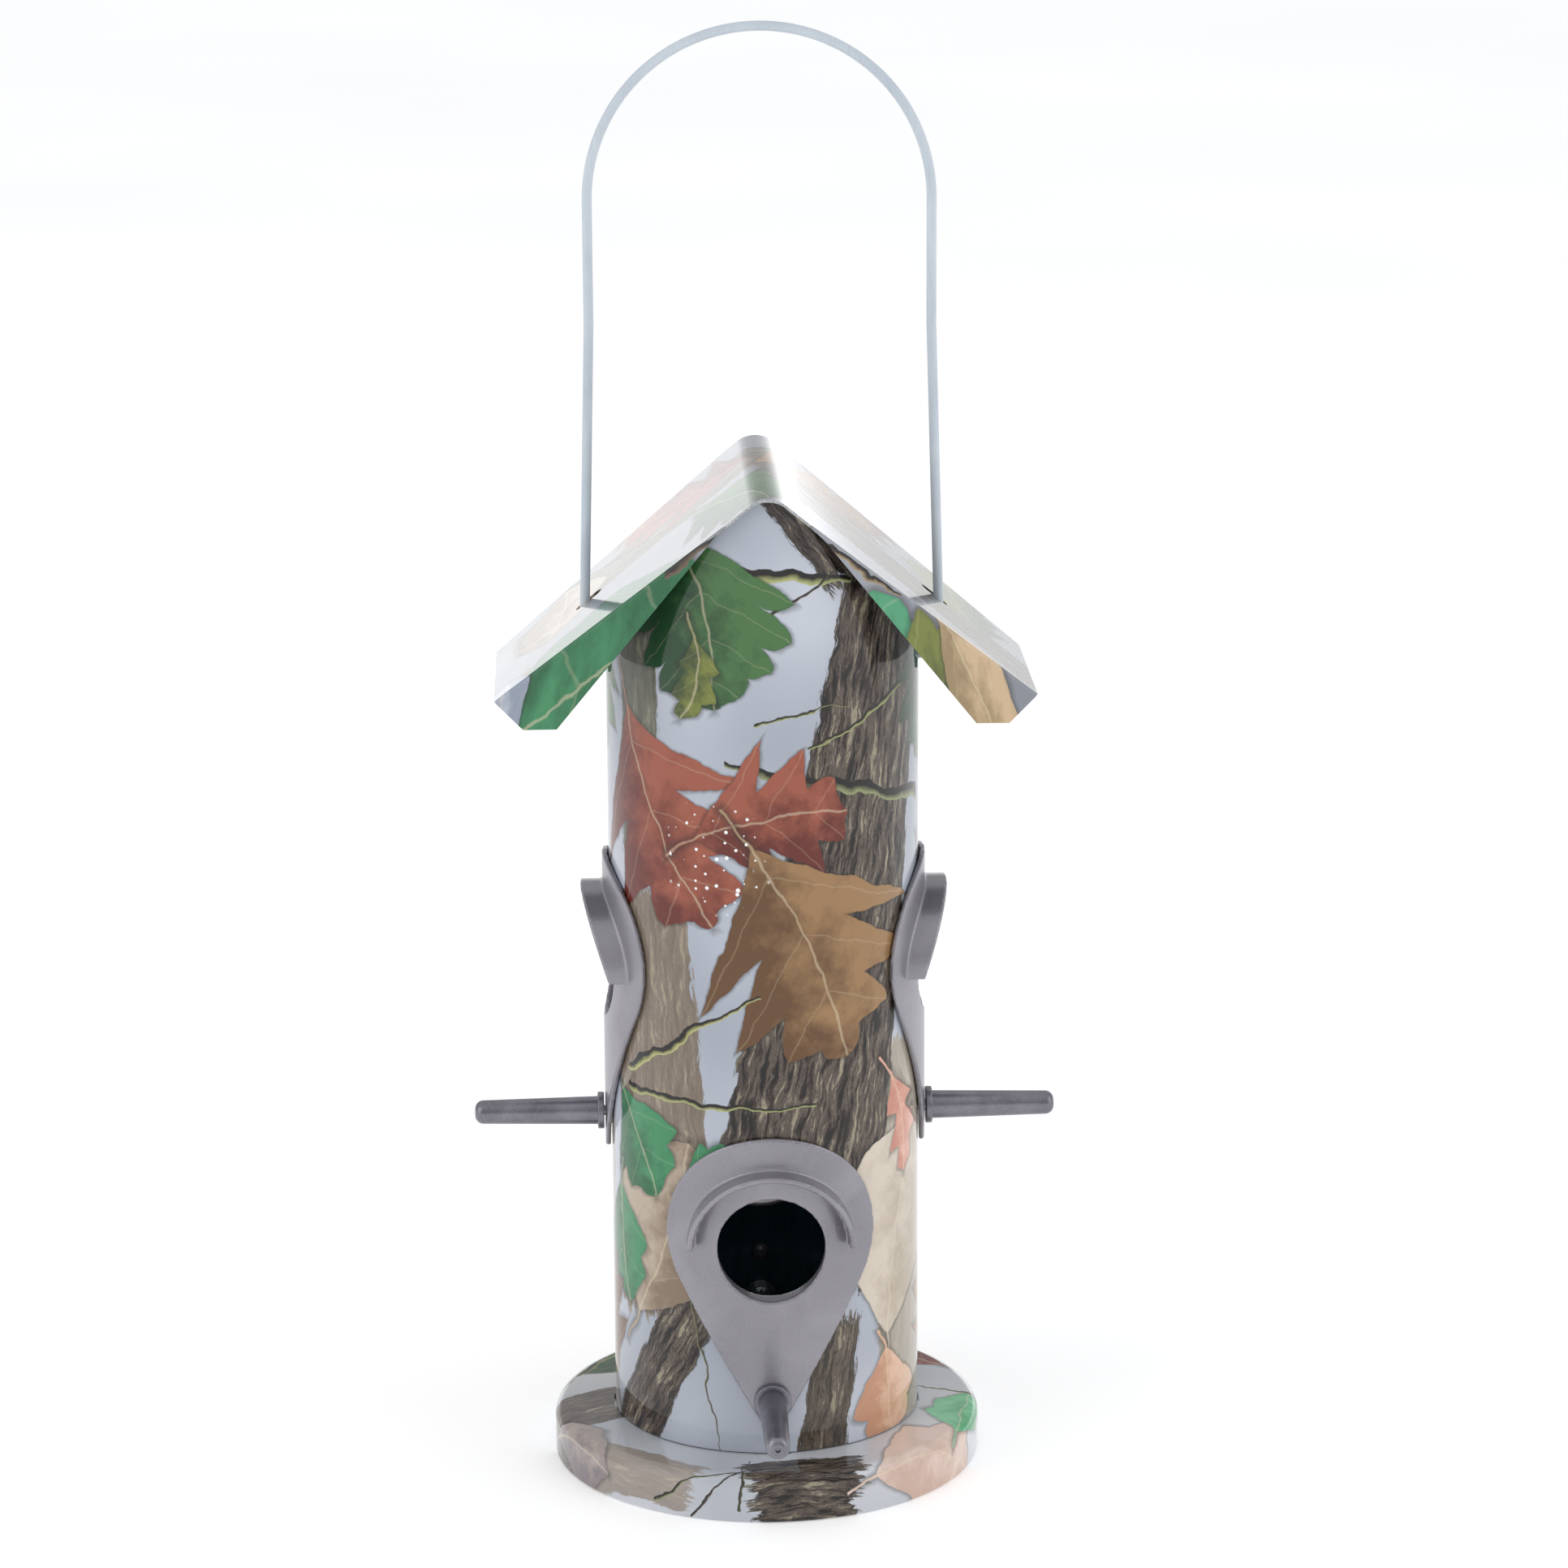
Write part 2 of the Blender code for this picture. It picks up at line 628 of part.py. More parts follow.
# ---- Assembly ----
def build():
    clear_scene()
    printed = make_material("printed_tinplate", (0.33, 0.27, 0.19), 0.22, 0.0)
    roof_print = make_material("printed_roof_tinplate", (0.20, 0.34, 0.17), 0.22, 0.0)
    wire = make_material("painted_wire", (0.42, 0.48, 0.54), 0.35, 0.0)
    plastic = make_material("grey_plastic", (0.25, 0.25, 0.28), 0.38, 0.0)
    perch_metal = make_material("perch_gunmetal", (0.16, 0.15, 0.17), 0.30, 0.8)
    zinc = make_material("zinc_steel", (0.55, 0.56, 0.58), 0.35, 1.0)

    add_object("tube_body", tube_mesh(), printed)
    add_object("base_pan", pan_mesh(), printed)

    bail_pivot = add_empty("bail_pivot_axis", (0.0, 0.0, BAIL_PIVOT))
    add_bail("bail_wire", wire, bail_pivot)
    roof_slide = add_empty("roof_slide_axis", (0.0, 0.0, 0.0), parent=bail_pivot)
    roof = roof_mesh()
    roof.transform(Matrix.Translation((0.0, 0.0, -BAIL_PIVOT)))
    add_object("roof", roof, roof_print, roof_slide)

    port = port_mesh()
    perch = perch_mesh()
    screw = screw_mesh()
    washer = washer_mesh()
    for name, turn, height in PORTS:
        place = add_empty(f"port_{name}_place", (0.0, 0.0, height), math.radians(turn))
        add_object(f"port_{name}", port.copy(), plastic, place)
        add_object(f"perch_{name}", perch.copy(), perch_metal, place)
        add_object(f"perch_screw_{name}", screw.copy(), zinc, place)
        add_object(f"perch_washer_{name}", washer.copy(), zinc, place)


build()
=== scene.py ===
"""Hanging tube feeder in printed sheet metal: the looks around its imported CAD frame.

Metres, +Z up, the front port faces -Y.  Print layouts are in millimetres on the flat sheet.
"""

import math

import bpy
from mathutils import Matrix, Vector


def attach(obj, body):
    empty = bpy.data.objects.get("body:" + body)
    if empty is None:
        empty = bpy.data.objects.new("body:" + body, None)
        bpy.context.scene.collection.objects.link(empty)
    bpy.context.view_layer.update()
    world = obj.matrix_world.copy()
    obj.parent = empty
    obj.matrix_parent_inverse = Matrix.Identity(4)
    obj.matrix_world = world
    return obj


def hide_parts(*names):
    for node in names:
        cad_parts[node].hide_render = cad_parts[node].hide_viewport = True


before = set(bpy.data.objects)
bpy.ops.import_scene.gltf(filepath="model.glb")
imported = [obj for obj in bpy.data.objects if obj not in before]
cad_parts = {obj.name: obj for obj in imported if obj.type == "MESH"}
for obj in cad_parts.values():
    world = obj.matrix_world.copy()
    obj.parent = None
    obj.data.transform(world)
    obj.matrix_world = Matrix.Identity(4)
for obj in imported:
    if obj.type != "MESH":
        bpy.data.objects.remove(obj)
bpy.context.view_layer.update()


# ---- Camera and studio ----
# The feeder stands on a white sweep, lit by a bright surround and two soft boxes.  The
# camera stands a little above roof height and looks down at it with a long lens.
def add(tree, kind, inputs=None, out=0, stops=None, **settings):
    """A shader node with its settings and links; gives back one of its outputs."""
    made = tree.nodes.new("ShaderNode" + kind)
    for name, value in settings.items():
        setattr(made, name, value)
    for socket, value in (inputs or {}).items():
        if isinstance(value, bpy.types.NodeSocket):
            tree.links.new(value, made.inputs[socket])
        else:
            made.inputs[socket].default_value = value
    if stops:
        elements = made.color_ramp.elements
        while len(elements) < len(stops):
            elements.new(1.0)
        for element, (place, colour) in zip(elements, stops):
            element.position = place
            element.color = colour
    return made.outputs[out]


def calc(tree, operation, *values, **settings):
    """A sum on one to three values."""
    return add(tree, "Math", dict(enumerate(values)), operation=operation, **settings)


def remap(tree, value, start=(0.0, 1.0), end=(0.0, 1.0), **settings):
    """A value carried over from one range to another, and held at the ends."""
    ranges = {"From Min": start[0], "From Max": start[1], "To Min": end[0], "To Max": end[1]}
    return add(tree, "MapRange", {"Value": value, **ranges}, **settings)


def axis(tree, vector, name):
    return add(tree, "SeparateXYZ", {0: vector}, out=name)


def mix(tree, amount, under, over):
    """The over colour laid on the under colour by an amount from 0 to 1."""
    return add(tree, "Mix", {0: amount, 6: under, 7: over}, out=2, data_type="RGBA")


def ink(code):
    """An sRGB hex colour as a linear one."""
    levels = [int(code[i:i + 2], 16) / 255 for i in (1, 3, 5)]
    return (*[x / 12.92 if x <= 0.04045 else ((x + 0.055) / 1.055) ** 2.4 for x in levels], 1.0)


def between(tree, value, low, high):
    """A colour between two hex colours, as a noise between 0.3 and 0.7 says."""
    return add(tree, "ValToRGB", {0: value}, stops=((0.3, ink(low)), (0.7, ink(high))))


def blank(name):
    """A new material with nothing in it but its output; gives the material and its tree."""
    material = bpy.data.materials.new(name)
    material.use_nodes = True
    material.node_tree.nodes.clear()
    return material, material.node_tree


def finish_with(tree, **inputs):
    """Gives the material its shader, each input named by its label with _ for a space."""
    labelled = {name.replace("_", " "): value for name, value in inputs.items()}
    surface = add(tree, "BsdfPrincipled", labelled)
    output = tree.nodes.new("ShaderNodeOutputMaterial")
    tree.links.new(surface, output.inputs["Surface"])


scene = bpy.context.scene
scene.view_settings.view_transform = "Standard"

CAMERA_PLACE = (-0.0455, -1.2289, 0.4896)
CAMERA_HEADING = 0.0412
CAMERA_PITCH = 0.253
CAMERA_ROLL = -0.005
LENS_LENGTH = 119.3
FILM_WIDTH = 36.0
lens = bpy.data.cameras.new("camera")
lens.lens = LENS_LENGTH
lens.sensor_width = FILM_WIDTH
lens.clip_start = 0.05
camera = bpy.data.objects.new("camera", lens)
scene.collection.objects.link(camera)
aim = Vector((
    math.sin(CAMERA_HEADING) * math.cos(CAMERA_PITCH),
    math.cos(CAMERA_HEADING) * math.cos(CAMERA_PITCH),
    -math.sin(CAMERA_PITCH),
))
camera.rotation_euler = aim.to_track_quat("-Z", "Y").to_euler()
camera.rotation_euler.rotate_axis("Z", CAMERA_ROLL)
camera.location = CAMERA_PLACE
scene.camera = camera

world = bpy.data.worlds.new("studio")
scene.world = world
world.use_nodes = True
sky = world.node_tree
sky.nodes.clear()
# The lit backdrop behind the feeder is brightest low down and to the right, the room in
# front is dimmer, and the ceiling is a little brighter than its walls.
BACKDROP_GLOW = 1.65
ROOM_LIGHT = 0.5
CEILING_LIGHT = 0.45
toward = add(sky, "TexCoord", out="Generated")
height = axis(sky, toward, "Z")
ahead = calc(sky, "MULTIPLY_ADD", axis(sky, toward, "X"), 0.5, axis(sky, toward, "Y"))
behind = remap(sky, ahead, (0.45, 1.05), interpolation_type="SMOOTHSTEP")
low = remap(sky, height, (0.0, 0.22), (1.0, 0.0), interpolation_type="SMOOTHSTEP")
glow = calc(sky, "MULTIPLY_ADD", calc(sky, "MULTIPLY", behind, low), BACKDROP_GLOW, ROOM_LIGHT)
horizon = remap(sky, height, (0.04, 0.16), (1.0, 0.0), interpolation_type="SMOOTHSTEP")
glow = calc(sky, "MAXIMUM", glow, horizon)
lifted = remap(sky, height, (0.3, 0.9), (0.0, CEILING_LIGHT))
strength = calc(sky, "ADD", glow, lifted)
backdrop = sky.nodes.new("ShaderNodeOutputWorld")
shine = add(sky, "Background", {"Color": ink("#FDFEFF"), "Strength": strength})
sky.links.new(shine, backdrop.inputs["Surface"])

BOX_SIZE = 1.5
BOX_POWER = 8.0
BOX_AIM = Vector((0, 0, 0.15))
for name, place in (("soft_box_left", (-1.5, -0.8, 0.9)), ("soft_box_right", (1.6, -0.6, 0.9))):
    light = bpy.data.lights.new(name, "AREA")
    light.size = BOX_SIZE
    light.energy = BOX_POWER
    box = bpy.data.objects.new(name, light)
    box.location = place
    box.rotation_euler = (BOX_AIM - Vector(place)).to_track_quat("-Z", "Y").to_euler()
    scene.collection.objects.link(box)

FLOOR_HALF = 40.0
for obj in bpy.context.selected_objects:
    obj.select_set(False)
bpy.ops.mesh.primitive_plane_add(size=2 * FLOOR_HALF, location=(0.0, 0.0, 0.0))
floor = bpy.context.object
floor.name = "floor"
bpy.ops.object.mode_set(mode="EDIT")
bpy.ops.mesh.subdivide(number_cuts=8)
bpy.ops.object.mode_set(mode="OBJECT")
# White seamless paper: uncoated, so it has no gloss, and its tone drifts very slightly.
paper, tree = blank("seamless_paper")
place = add(tree, "TexCoord", out="Object")
tone = add(tree, "TexNoise", {"Vector": place, "Scale": 2.0, "Detail": 2.0})
colour = between(tree, tone, "#F6F6F7", "#FBFBFB")
finish_with(tree, Base_Color=colour, Roughness=0.9, Specular_IOR_Level=0.2,
            Emission_Color=ink("#FFFFFF"), Emission_Strength=0.24)
floor.data.materials.append(paper)


# ---- Tube ----
# A strip of printed tinplate rolled round and closed with a flat lock seam down its back
# right side.  Its top is cut to the roof's gable, and four tabs at its foot pass down
# through the pan and are bent in under it.
SHEET = 0.0006
GAP = 0.0003
TUBE_RADIUS = 0.038
TUBE_SIDES = 180
TUBE_FOOT = 0.012 + GAP
SEAM_ANGLE = math.radians(45)
SEAM_HALF = math.radians(3.2)
SEAM_HEIGHT = 0.0009
TAB_HALF = 0.0042
TAB_REACH = 0.0044
ROOF_PITCH = math.radians(39.3)
ROOF_CLEARANCE = 0.0004
RIDGE_TOP = 0.2507
RIDGE_BEND = 0.007
PORTS = {
    "front": (0.0, 0.0649),
    "right": (90.0, 0.1273),
    "rear": (180.0, 0.0649),
    "left": (270.0, 0.1273),
}
SLEEVE_HOLE = 0.0146
STAKE_DROP = 0.027
STAKE_HOLE = 0.0018
PERCH_DROP = 0.0385
SCREW_HOLE = 0.0017
BAIL_PIVOT = 0.204
BAIL_HOLE = 0.0018


def start(*pieces):
    """In object mode, with only these pieces selected and the first of them active."""
    if bpy.context.object and bpy.context.object.mode != "OBJECT":
        bpy.ops.object.mode_set(mode="OBJECT")
    bpy.ops.object.select_all(action="DESELECT")
    for piece in pieces:
        piece.select_set(True)
    if pieces:
        bpy.context.view_layer.objects.active = pieces[0]


def named(name):
    """Names the primitive just added and applies its placing."""
    piece = bpy.context.object
    piece.name = name
    bpy.ops.object.transform_apply(location=True, rotation=True, scale=True)
    return piece


def pick(piece, kind, test):
    """In edit mode, selects the vertices, edges or faces whose middle and normal pass."""
    bpy.ops.object.mode_set(mode="EDIT")
    bpy.ops.mesh.select_mode(type={"vertices": "VERT", "edges": "EDGE", "polygons": "FACE"}[kind])
    bpy.ops.mesh.select_all(action="DESELECT")
    bpy.ops.object.mode_set(mode="OBJECT")
    mesh = piece.data
    for item in getattr(mesh, kind):
        if kind == "vertices":
            middle, normal = item.co, item.normal
        elif kind == "edges":
            ends = [mesh.vertices[i] for i in item.vertices]
            middle, normal = (ends[0].co + ends[1].co) / 2, ends[1].co - ends[0].co
        else:
            middle, normal = item.center, item.normal
        item.select = bool(test(middle, normal))
    bpy.ops.object.mode_set(mode="EDIT")


def select_all():
    bpy.ops.object.mode_set(mode="EDIT")
    bpy.ops.mesh.select_all(action="SELECT")


def done():
    bpy.ops.object.mode_set(mode="OBJECT")


def modify(piece, kind, **settings):
    """Adds a modifier with its settings and applies it."""
    bpy.context.view_layer.objects.active = piece
    step = piece.modifiers.new(kind.lower(), kind)
    for name, value in settings.items():
        setattr(step, name, value)
    bpy.ops.object.modifier_apply(modifier=step.name)


def cylinder(name, radius, depth, location, sides, turned=(0.0, 0.0, 0.0), ends="NGON"):
    start()
    bpy.ops.mesh.primitive_cylinder_add(vertices=sides, radius=radius, depth=depth, location=location,
                                        rotation=turned, end_fill_type=ends)
    return named(name)


def joined(name, parts):
    start(*parts)
    if len(parts) > 1:
        bpy.ops.object.join()
    whole = bpy.context.object
    whole.name = name
    return whole


def cut(piece, tool, operation="DIFFERENCE"):
    """The tool's solid taken from the piece, joined to it or kept in common; the tool goes."""
    modify(piece, "BOOLEAN", operation=operation, solver="EXACT", object=tool)
    bpy.data.objects.remove(tool, do_unlink=True)


def merge(piece, outwards=False):
    """Joins doubled vertices, and turns the faces outwards where asked."""
    bpy.context.view_layer.objects.active = piece
    select_all()
    bpy.ops.mesh.remove_doubles(threshold=0.000005)
    if outwards:
        bpy.ops.mesh.normals_make_consistent(inside=False)
    done()


def to_sheet(piece):
    """Gives an outer skin the sheet's thickness, and slots for its three finishes."""
    for _ in ("printed face", "inner face", "cut edge"):
        piece.data.materials.append(None)
    modify(piece, "SOLIDIFY", thickness=SHEET, offset=-1.0, material_offset=1, material_offset_rim=2)


def smooth(piece, degrees=30, flat_faces=False):
    """Shades the piece smooth up to an angle; flat_faces keeps its broad faces truly flat."""
    start(piece)
    bpy.ops.object.shade_smooth_by_angle(angle=math.radians(degrees))
    if flat_faces:
        modify(piece, "WEIGHTED_NORMAL", keep_sharp=True, weight=100)


def on_port(port, drop):
    """Where a port's cutter stands, and its turn, so that its length points outwards."""
    degrees, rise = PORTS[port]
    angle = math.radians(degrees)
    place = (TUBE_RADIUS * math.sin(angle), -TUBE_RADIUS * math.cos(angle), rise - drop)
    return place, (math.radians(90), 0.0, angle)


top = RIDGE_TOP + SHEET
middle = (top + TUBE_FOOT) / 2
tube = cylinder("tube", TUBE_RADIUS, top - TUBE_FOOT, (0, 0, middle), TUBE_SIDES, ends="NOTHING")
pick(tube, "polygons", lambda c, n: abs(math.atan2(c.y, c.x) - SEAM_ANGLE) < SEAM_HALF)
seam_way = Vector((math.cos(SEAM_ANGLE), math.sin(SEAM_ANGLE), 0.0)) * SEAM_HEIGHT
bpy.ops.mesh.extrude_region_move(TRANSFORM_OT_translate={"value": seam_way})
done()
GABLE_CUTS = 9
for step in range(GABLE_CUTS):
    lean = ROOF_PITCH * (2 * step / (GABLE_CUTS - 1) - 1)
    normal = Vector((math.sin(lean), 0.0, math.cos(lean)))
    crown = Vector((0.0, 0.0, RIDGE_TOP - RIDGE_BEND)) + normal * (RIDGE_BEND - SHEET - ROOF_CLEARANCE)
    select_all()
    bpy.ops.mesh.bisect(plane_co=crown, plane_no=normal, clear_outer=True)
    done()
for quarter in range(4):
    angle = quarter * math.radians(90)
    way = Vector((math.cos(angle), math.sin(angle), 0.0))
    pick(tube, "edges", lambda c, n: c.z < TUBE_FOOT + GAP and (c - way * TUBE_RADIUS).length < TAB_HALF
         and abs(n.z) < GAP)
    bpy.ops.mesh.extrude_edges_move(TRANSFORM_OT_translate={"value": (0.0, 0.0, -2 * GAP - SHEET)})
    bpy.ops.mesh.extrude_edges_move(TRANSFORM_OT_translate={"value": (0.0, 0.0, -SHEET)})
    bpy.ops.mesh.extrude_edges_move(TRANSFORM_OT_translate={"value": -way * TAB_REACH})
    done()
to_sheet(tube)
cutters = []
for port in PORTS:
    for radius, drop in ((SLEEVE_HOLE, 0.0), (STAKE_HOLE, STAKE_DROP), (SCREW_HOLE, PERCH_DROP)):
        place, turned = on_port(port, drop)
        sides = 64 if drop == 0.0 else 20
        cutters.append(cylinder("hole", radius, TUBE_RADIUS, place, sides, turned))
sideways = (0, math.radians(90), 0)
cutters.append(cylinder("hole", BAIL_HOLE, 3 * TUBE_RADIUS, (0, 0, BAIL_PIVOT), 24, sideways))
cut(tube, joined("holes", cutters))
merge(tube)
smooth(tube)

# The print's inks lie on a white base coat under clear lacquer.  First come the motifs that
# all the printed sheets share, each laid over what is under it.  "Place" is a point of the
# flat sheet in mm; the sheet repeats every "Repeat" mm across, as a printing roller does.
# The tube's print comes twice around it; the pan and the roof are too narrow to repeat theirs.
TUBE_REPEAT = math.pi * TUBE_RADIUS * 1000
NO_REPEAT = 1000.0


def motif(name, sockets):
    """An empty node group with an Under and a Place; gives its tree and its input sockets."""
    group = bpy.data.node_groups.new(name, "ShaderNodeTree")
    kinds = {"Under": "NodeSocketColor", "Place": "NodeSocketVector", "Ripple": "NodeSocketVector",
             "Centre": "NodeSocketVector", "Repeat": "NodeSocketFloat", **sockets}
    for socket, kind in kinds.items():
        group.interface.new_socket(socket, in_out="INPUT", socket_type=kind)
    group.interface.new_socket("Colour", in_out="OUTPUT", socket_type="NodeSocketColor")
    return group, group.nodes.new("NodeGroupInput").outputs


def give(group, colour):
    group.links.new(colour, group.nodes.new("NodeGroupOutput").inputs["Colour"])


def local_place(tree, given, shake):
    """From Place to a motif's own frame: moved to its centre, wrapped, turned and scaled."""
    moved = add(tree, "VectorMath", {0: given["Ripple"], 1: (shake, shake, 0.0), 2: given["Place"]},
                operation="MULTIPLY_ADD")
    from_centre = add(tree, "VectorMath", {0: moved, 1: given["Centre"]}, operation="SUBTRACT")
    half = calc(tree, "MULTIPLY", given["Repeat"], 0.5)
    low = calc(tree, "MULTIPLY", given["Repeat"], -0.5)
    across = axis(tree, from_centre, "X")
    up = axis(tree, from_centre, "Y")
    wrapped = calc(tree, "WRAP", across, half, low)
    return add(tree, "CombineXYZ", {0: wrapped, 1: up})


# A leaf: lobes along a midrib, with a vein running out to each lobe's tip.  Lobes with
# Point above 1 are spiky as on a red oak, and below 1 they are round as on a white oak.
leaf, given = motif("printed_leaf", {
    "Turn": "NodeSocketFloat", "Length": "NodeSocketFloat", "Width": "NodeSocketFloat",
    "Lobes": "NodeSocketFloat", "Depth": "NodeSocketFloat", "Point": "NodeSocketFloat",
    "Curl": "NodeSocketFloat", "Light": "NodeSocketColor", "Dark": "NodeSocketColor",
})
wrapped = local_place(leaf, given, 0.55)
turn = add(leaf, "CombineXYZ", {2: given["Turn"]})
scale = add(leaf, "CombineXYZ", {0: given["Length"], 1: given["Length"], 2: 1.0})
own = add(leaf, "Mapping", {"Vector": wrapped, "Rotation": turn, "Scale": scale}, vector_type="TEXTURE")
along = calc(leaf, "ADD", axis(leaf, own, "X"), 0.5)
bow = calc(leaf, "SUBTRACT", along, 0.5)
bow = calc(leaf, "MULTIPLY", bow, bow)
side = calc(leaf, "MULTIPLY_ADD", bow, given["Curl"], axis(leaf, own, "Y"))
off = calc(leaf, "ABSOLUTE", side)
on_leaf = add(leaf, "Clamp", {0: along})
swell = calc(leaf, "MULTIPLY", calc(leaf, "POWER", on_leaf, 1.25), math.pi)
swell = calc(leaf, "POWER", calc(leaf, "SINE", swell), 0.7)
forward = calc(leaf, "MULTIPLY_ADD", off, -0.8, along)
count = calc(leaf, "MULTIPLY", forward, given["Lobes"])
wave = calc(leaf, "MULTIPLY", calc(leaf, "PINGPONG", count, 0.5), 2.0)
lobe = calc(leaf, "POWER", wave, given["Point"])
notch = calc(leaf, "SUBTRACT", 1.0, lobe)
notch = calc(leaf, "MULTIPLY", notch, given["Depth"])
notch = calc(leaf, "SUBTRACT", 1.0, notch)
half = calc(leaf, "MULTIPLY", calc(leaf, "MULTIPLY", swell, given["Width"]), notch)
within = calc(leaf, "MULTIPLY", calc(leaf, "SUBTRACT", half, off), given["Length"])
tip_end = calc(leaf, "SUBTRACT", 1.0, along)
blade_end = calc(leaf, "MINIMUM", along, tip_end)
blade_end = calc(leaf, "MULTIPLY_ADD", blade_end, given["Length"], 0.3)
within = calc(leaf, "MINIMUM", within, blade_end)
stalk = calc(leaf, "MULTIPLY", off, given["Length"])
stalk = calc(leaf, "SUBTRACT", 0.55, stalk)
stalk_end = calc(leaf, "MULTIPLY", calc(leaf, "ADD", along, 0.2), 40.0)
stalk = calc(leaf, "MINIMUM", stalk, stalk_end)
before_blade = calc(leaf, "MULTIPLY", calc(leaf, "SUBTRACT", 0.3, along), 40.0)
stalk = calc(leaf, "MINIMUM", stalk, before_blade)
within = calc(leaf, "MAXIMUM", within, stalk)
shade = remap(leaf, within, (-1.8, 0.0), (0.0, 0.55))
under = mix(leaf, shade, given["Under"], ink("#1A1714"))
# Blotches a fifth of the leaf's length, one half lighter than the other, a pale midrib about
# 0.6 mm wide and fainter veins.
blotch = add(leaf, "TexNoise", {"Vector": own, "Scale": 5.0, "Detail": 4.0, "Roughness": 0.6})
lit = calc(leaf, "MULTIPLY_ADD", side, 0.8, blotch)
lit = remap(leaf, lit, (0.36, 0.66))
body = mix(leaf, lit, given["Dark"], given["Light"])
from_midrib = calc(leaf, "MULTIPLY", off, given["Length"])
vein = remap(leaf, wave, (0.95, 1.0), (0.0, 0.15))
midrib = remap(leaf, from_midrib, (0.1, 0.45), (0.36, 0.0))
vein = calc(leaf, "MAXIMUM", vein, midrib)
body = mix(leaf, vein, body, ink("#E2D3B4"))
rim = remap(leaf, within, (0.0, 0.9), (0.45, 0.0))
body = mix(leaf, rim, body, given["Dark"])
cover = remap(leaf, within, (0.0, 0.25))
give(leaf, mix(leaf, cover, under, body))

# Bark: a trunk with ragged sides, its fibres about 1.6 mm wide and 12 mm long.  It is
# rounded by darker sides, and Pale washes it out as on a trunk further off.
bark, given = motif("printed_bark", {
    "Turn": "NodeSocketFloat", "Length": "NodeSocketFloat", "Width": "NodeSocketFloat",
    "Flare": "NodeSocketFloat", "Pale": "NodeSocketFloat", "Tint": "NodeSocketColor",
})
wrapped = local_place(bark, given, 0.5)
turn = add(bark, "CombineXYZ", {2: given["Turn"]})
own = add(bark, "Mapping", {"Vector": wrapped, "Rotation": turn}, vector_type="TEXTURE")
along = axis(bark, own, "X")
across = axis(bark, own, "Y")
fibre_place = add(bark, "Mapping", {"Vector": own, "Scale": (0.08, 0.62, 1.0)})
fibre = add(bark, "TexNoise", {"Vector": fibre_place, "Scale": 1.0, "Detail": 6.0, "Roughness": 0.76,
                               "Distortion": 0.3})
broad_place = add(bark, "Mapping", {"Vector": own, "Scale": (0.05, 0.22, 1.0)})
broad = add(bark, "TexNoise", {"Vector": broad_place, "Scale": 1.0, "Detail": 2.0})
ragged = calc(bark, "SUBTRACT", fibre, 0.5)
ragged = calc(bark, "MULTIPLY_ADD", ragged, 6.0, given["Width"])
ragged = calc(bark, "MULTIPLY_ADD", along, given["Flare"], ragged)
off = calc(bark, "ABSOLUTE", across)
within = calc(bark, "SUBTRACT", ragged, off)
end = calc(bark, "SUBTRACT", given["Length"], calc(bark, "ABSOLUTE", along))
end = calc(bark, "MULTIPLY_ADD", calc(bark, "SUBTRACT", fibre, 0.5), 22.0, end)
within = calc(bark, "MINIMUM", within, end)
tone = calc(bark, "MULTIPLY_ADD", calc(bark, "SUBTRACT", broad, 0.5), 0.25, fibre)
wood = add(bark, "ValToRGB", {0: tone}, stops=(
    (0.39, ink("#0E0B09")), (0.45, ink("#2A221D")), (0.485, ink("#4A3F37")),
    (0.515, ink("#6B5E58")), (0.54, ink("#332F22")), (0.575, ink("#766A60")),
    (0.63, ink("#A29A82")), (0.7, ink("#646D4E")),
))
round_off = remap(bark, within, (0.0, 4.0), (0.55, 0.0))
wood = mix(bark, round_off, wood, ink("#120F0D"))
wood = mix(bark, given["Pale"], wood, given["Tint"])
cover = remap(bark, within, (0.0, 0.3))
give(bark, mix(bark, cover, given["Under"], wood))

# A twig: a wavering line from its Centre to its Tip, thinner towards the tip, dark above
# and lit below.
twig, given = motif("printed_twig", {
    "Reach": "NodeSocketVector", "Thick": "NodeSocketFloat", "Light": "NodeSocketColor",
})
wrapped = local_place(twig, given, 0.8)
dot = add(twig, "VectorMath", {0: wrapped, 1: given["Reach"]}, out="Value", operation="DOT_PRODUCT")
squared = add(twig, "VectorMath", {0: given["Reach"], 1: given["Reach"]}, out="Value",
              operation="DOT_PRODUCT")
along = add(twig, "Clamp", {0: calc(twig, "DIVIDE", dot, squared)})
nearest = add(twig, "VectorMath", {0: given["Reach"], "Scale": along}, operation="SCALE")
apart = add(twig, "VectorMath", {0: wrapped, 1: nearest}, operation="SUBTRACT")
distance = add(twig, "VectorMath", {0: apart}, out="Value", operation="LENGTH")
taper = calc(twig, "MULTIPLY_ADD", along, -0.6, 1.0)
half = calc(twig, "MULTIPLY", given["Thick"], taper)
within = calc(twig, "SUBTRACT", half, distance)
below = axis(twig, apart, "Y")
below = calc(twig, "DIVIDE", below, half)
lit = remap(twig, below, (0.1, -0.7))
colour = mix(twig, lit, ink("#191513"), given["Light"])
cover = remap(twig, within, (0.0, 0.2))
give(twig, mix(twig, cover, given["Under"], colour))

GREEN_LEAF = ("#456F3F", "#1F4427")
OLIVE_LEAF = ("#757C38", "#3E4C27")
BRIGHT_LEAF = ("#3A875A", "#1C5F3A")
RUST_LEAF = ("#9A5440", "#64271E")
TAN_LEAF = ("#99764F", "#644529")
DEAD_LEAF = ("#B5A592", "#82705D")
PEACH_LEAF = ("#DCA593", "#C0806C")
OLIVE_EDGE = "#A8AC72"


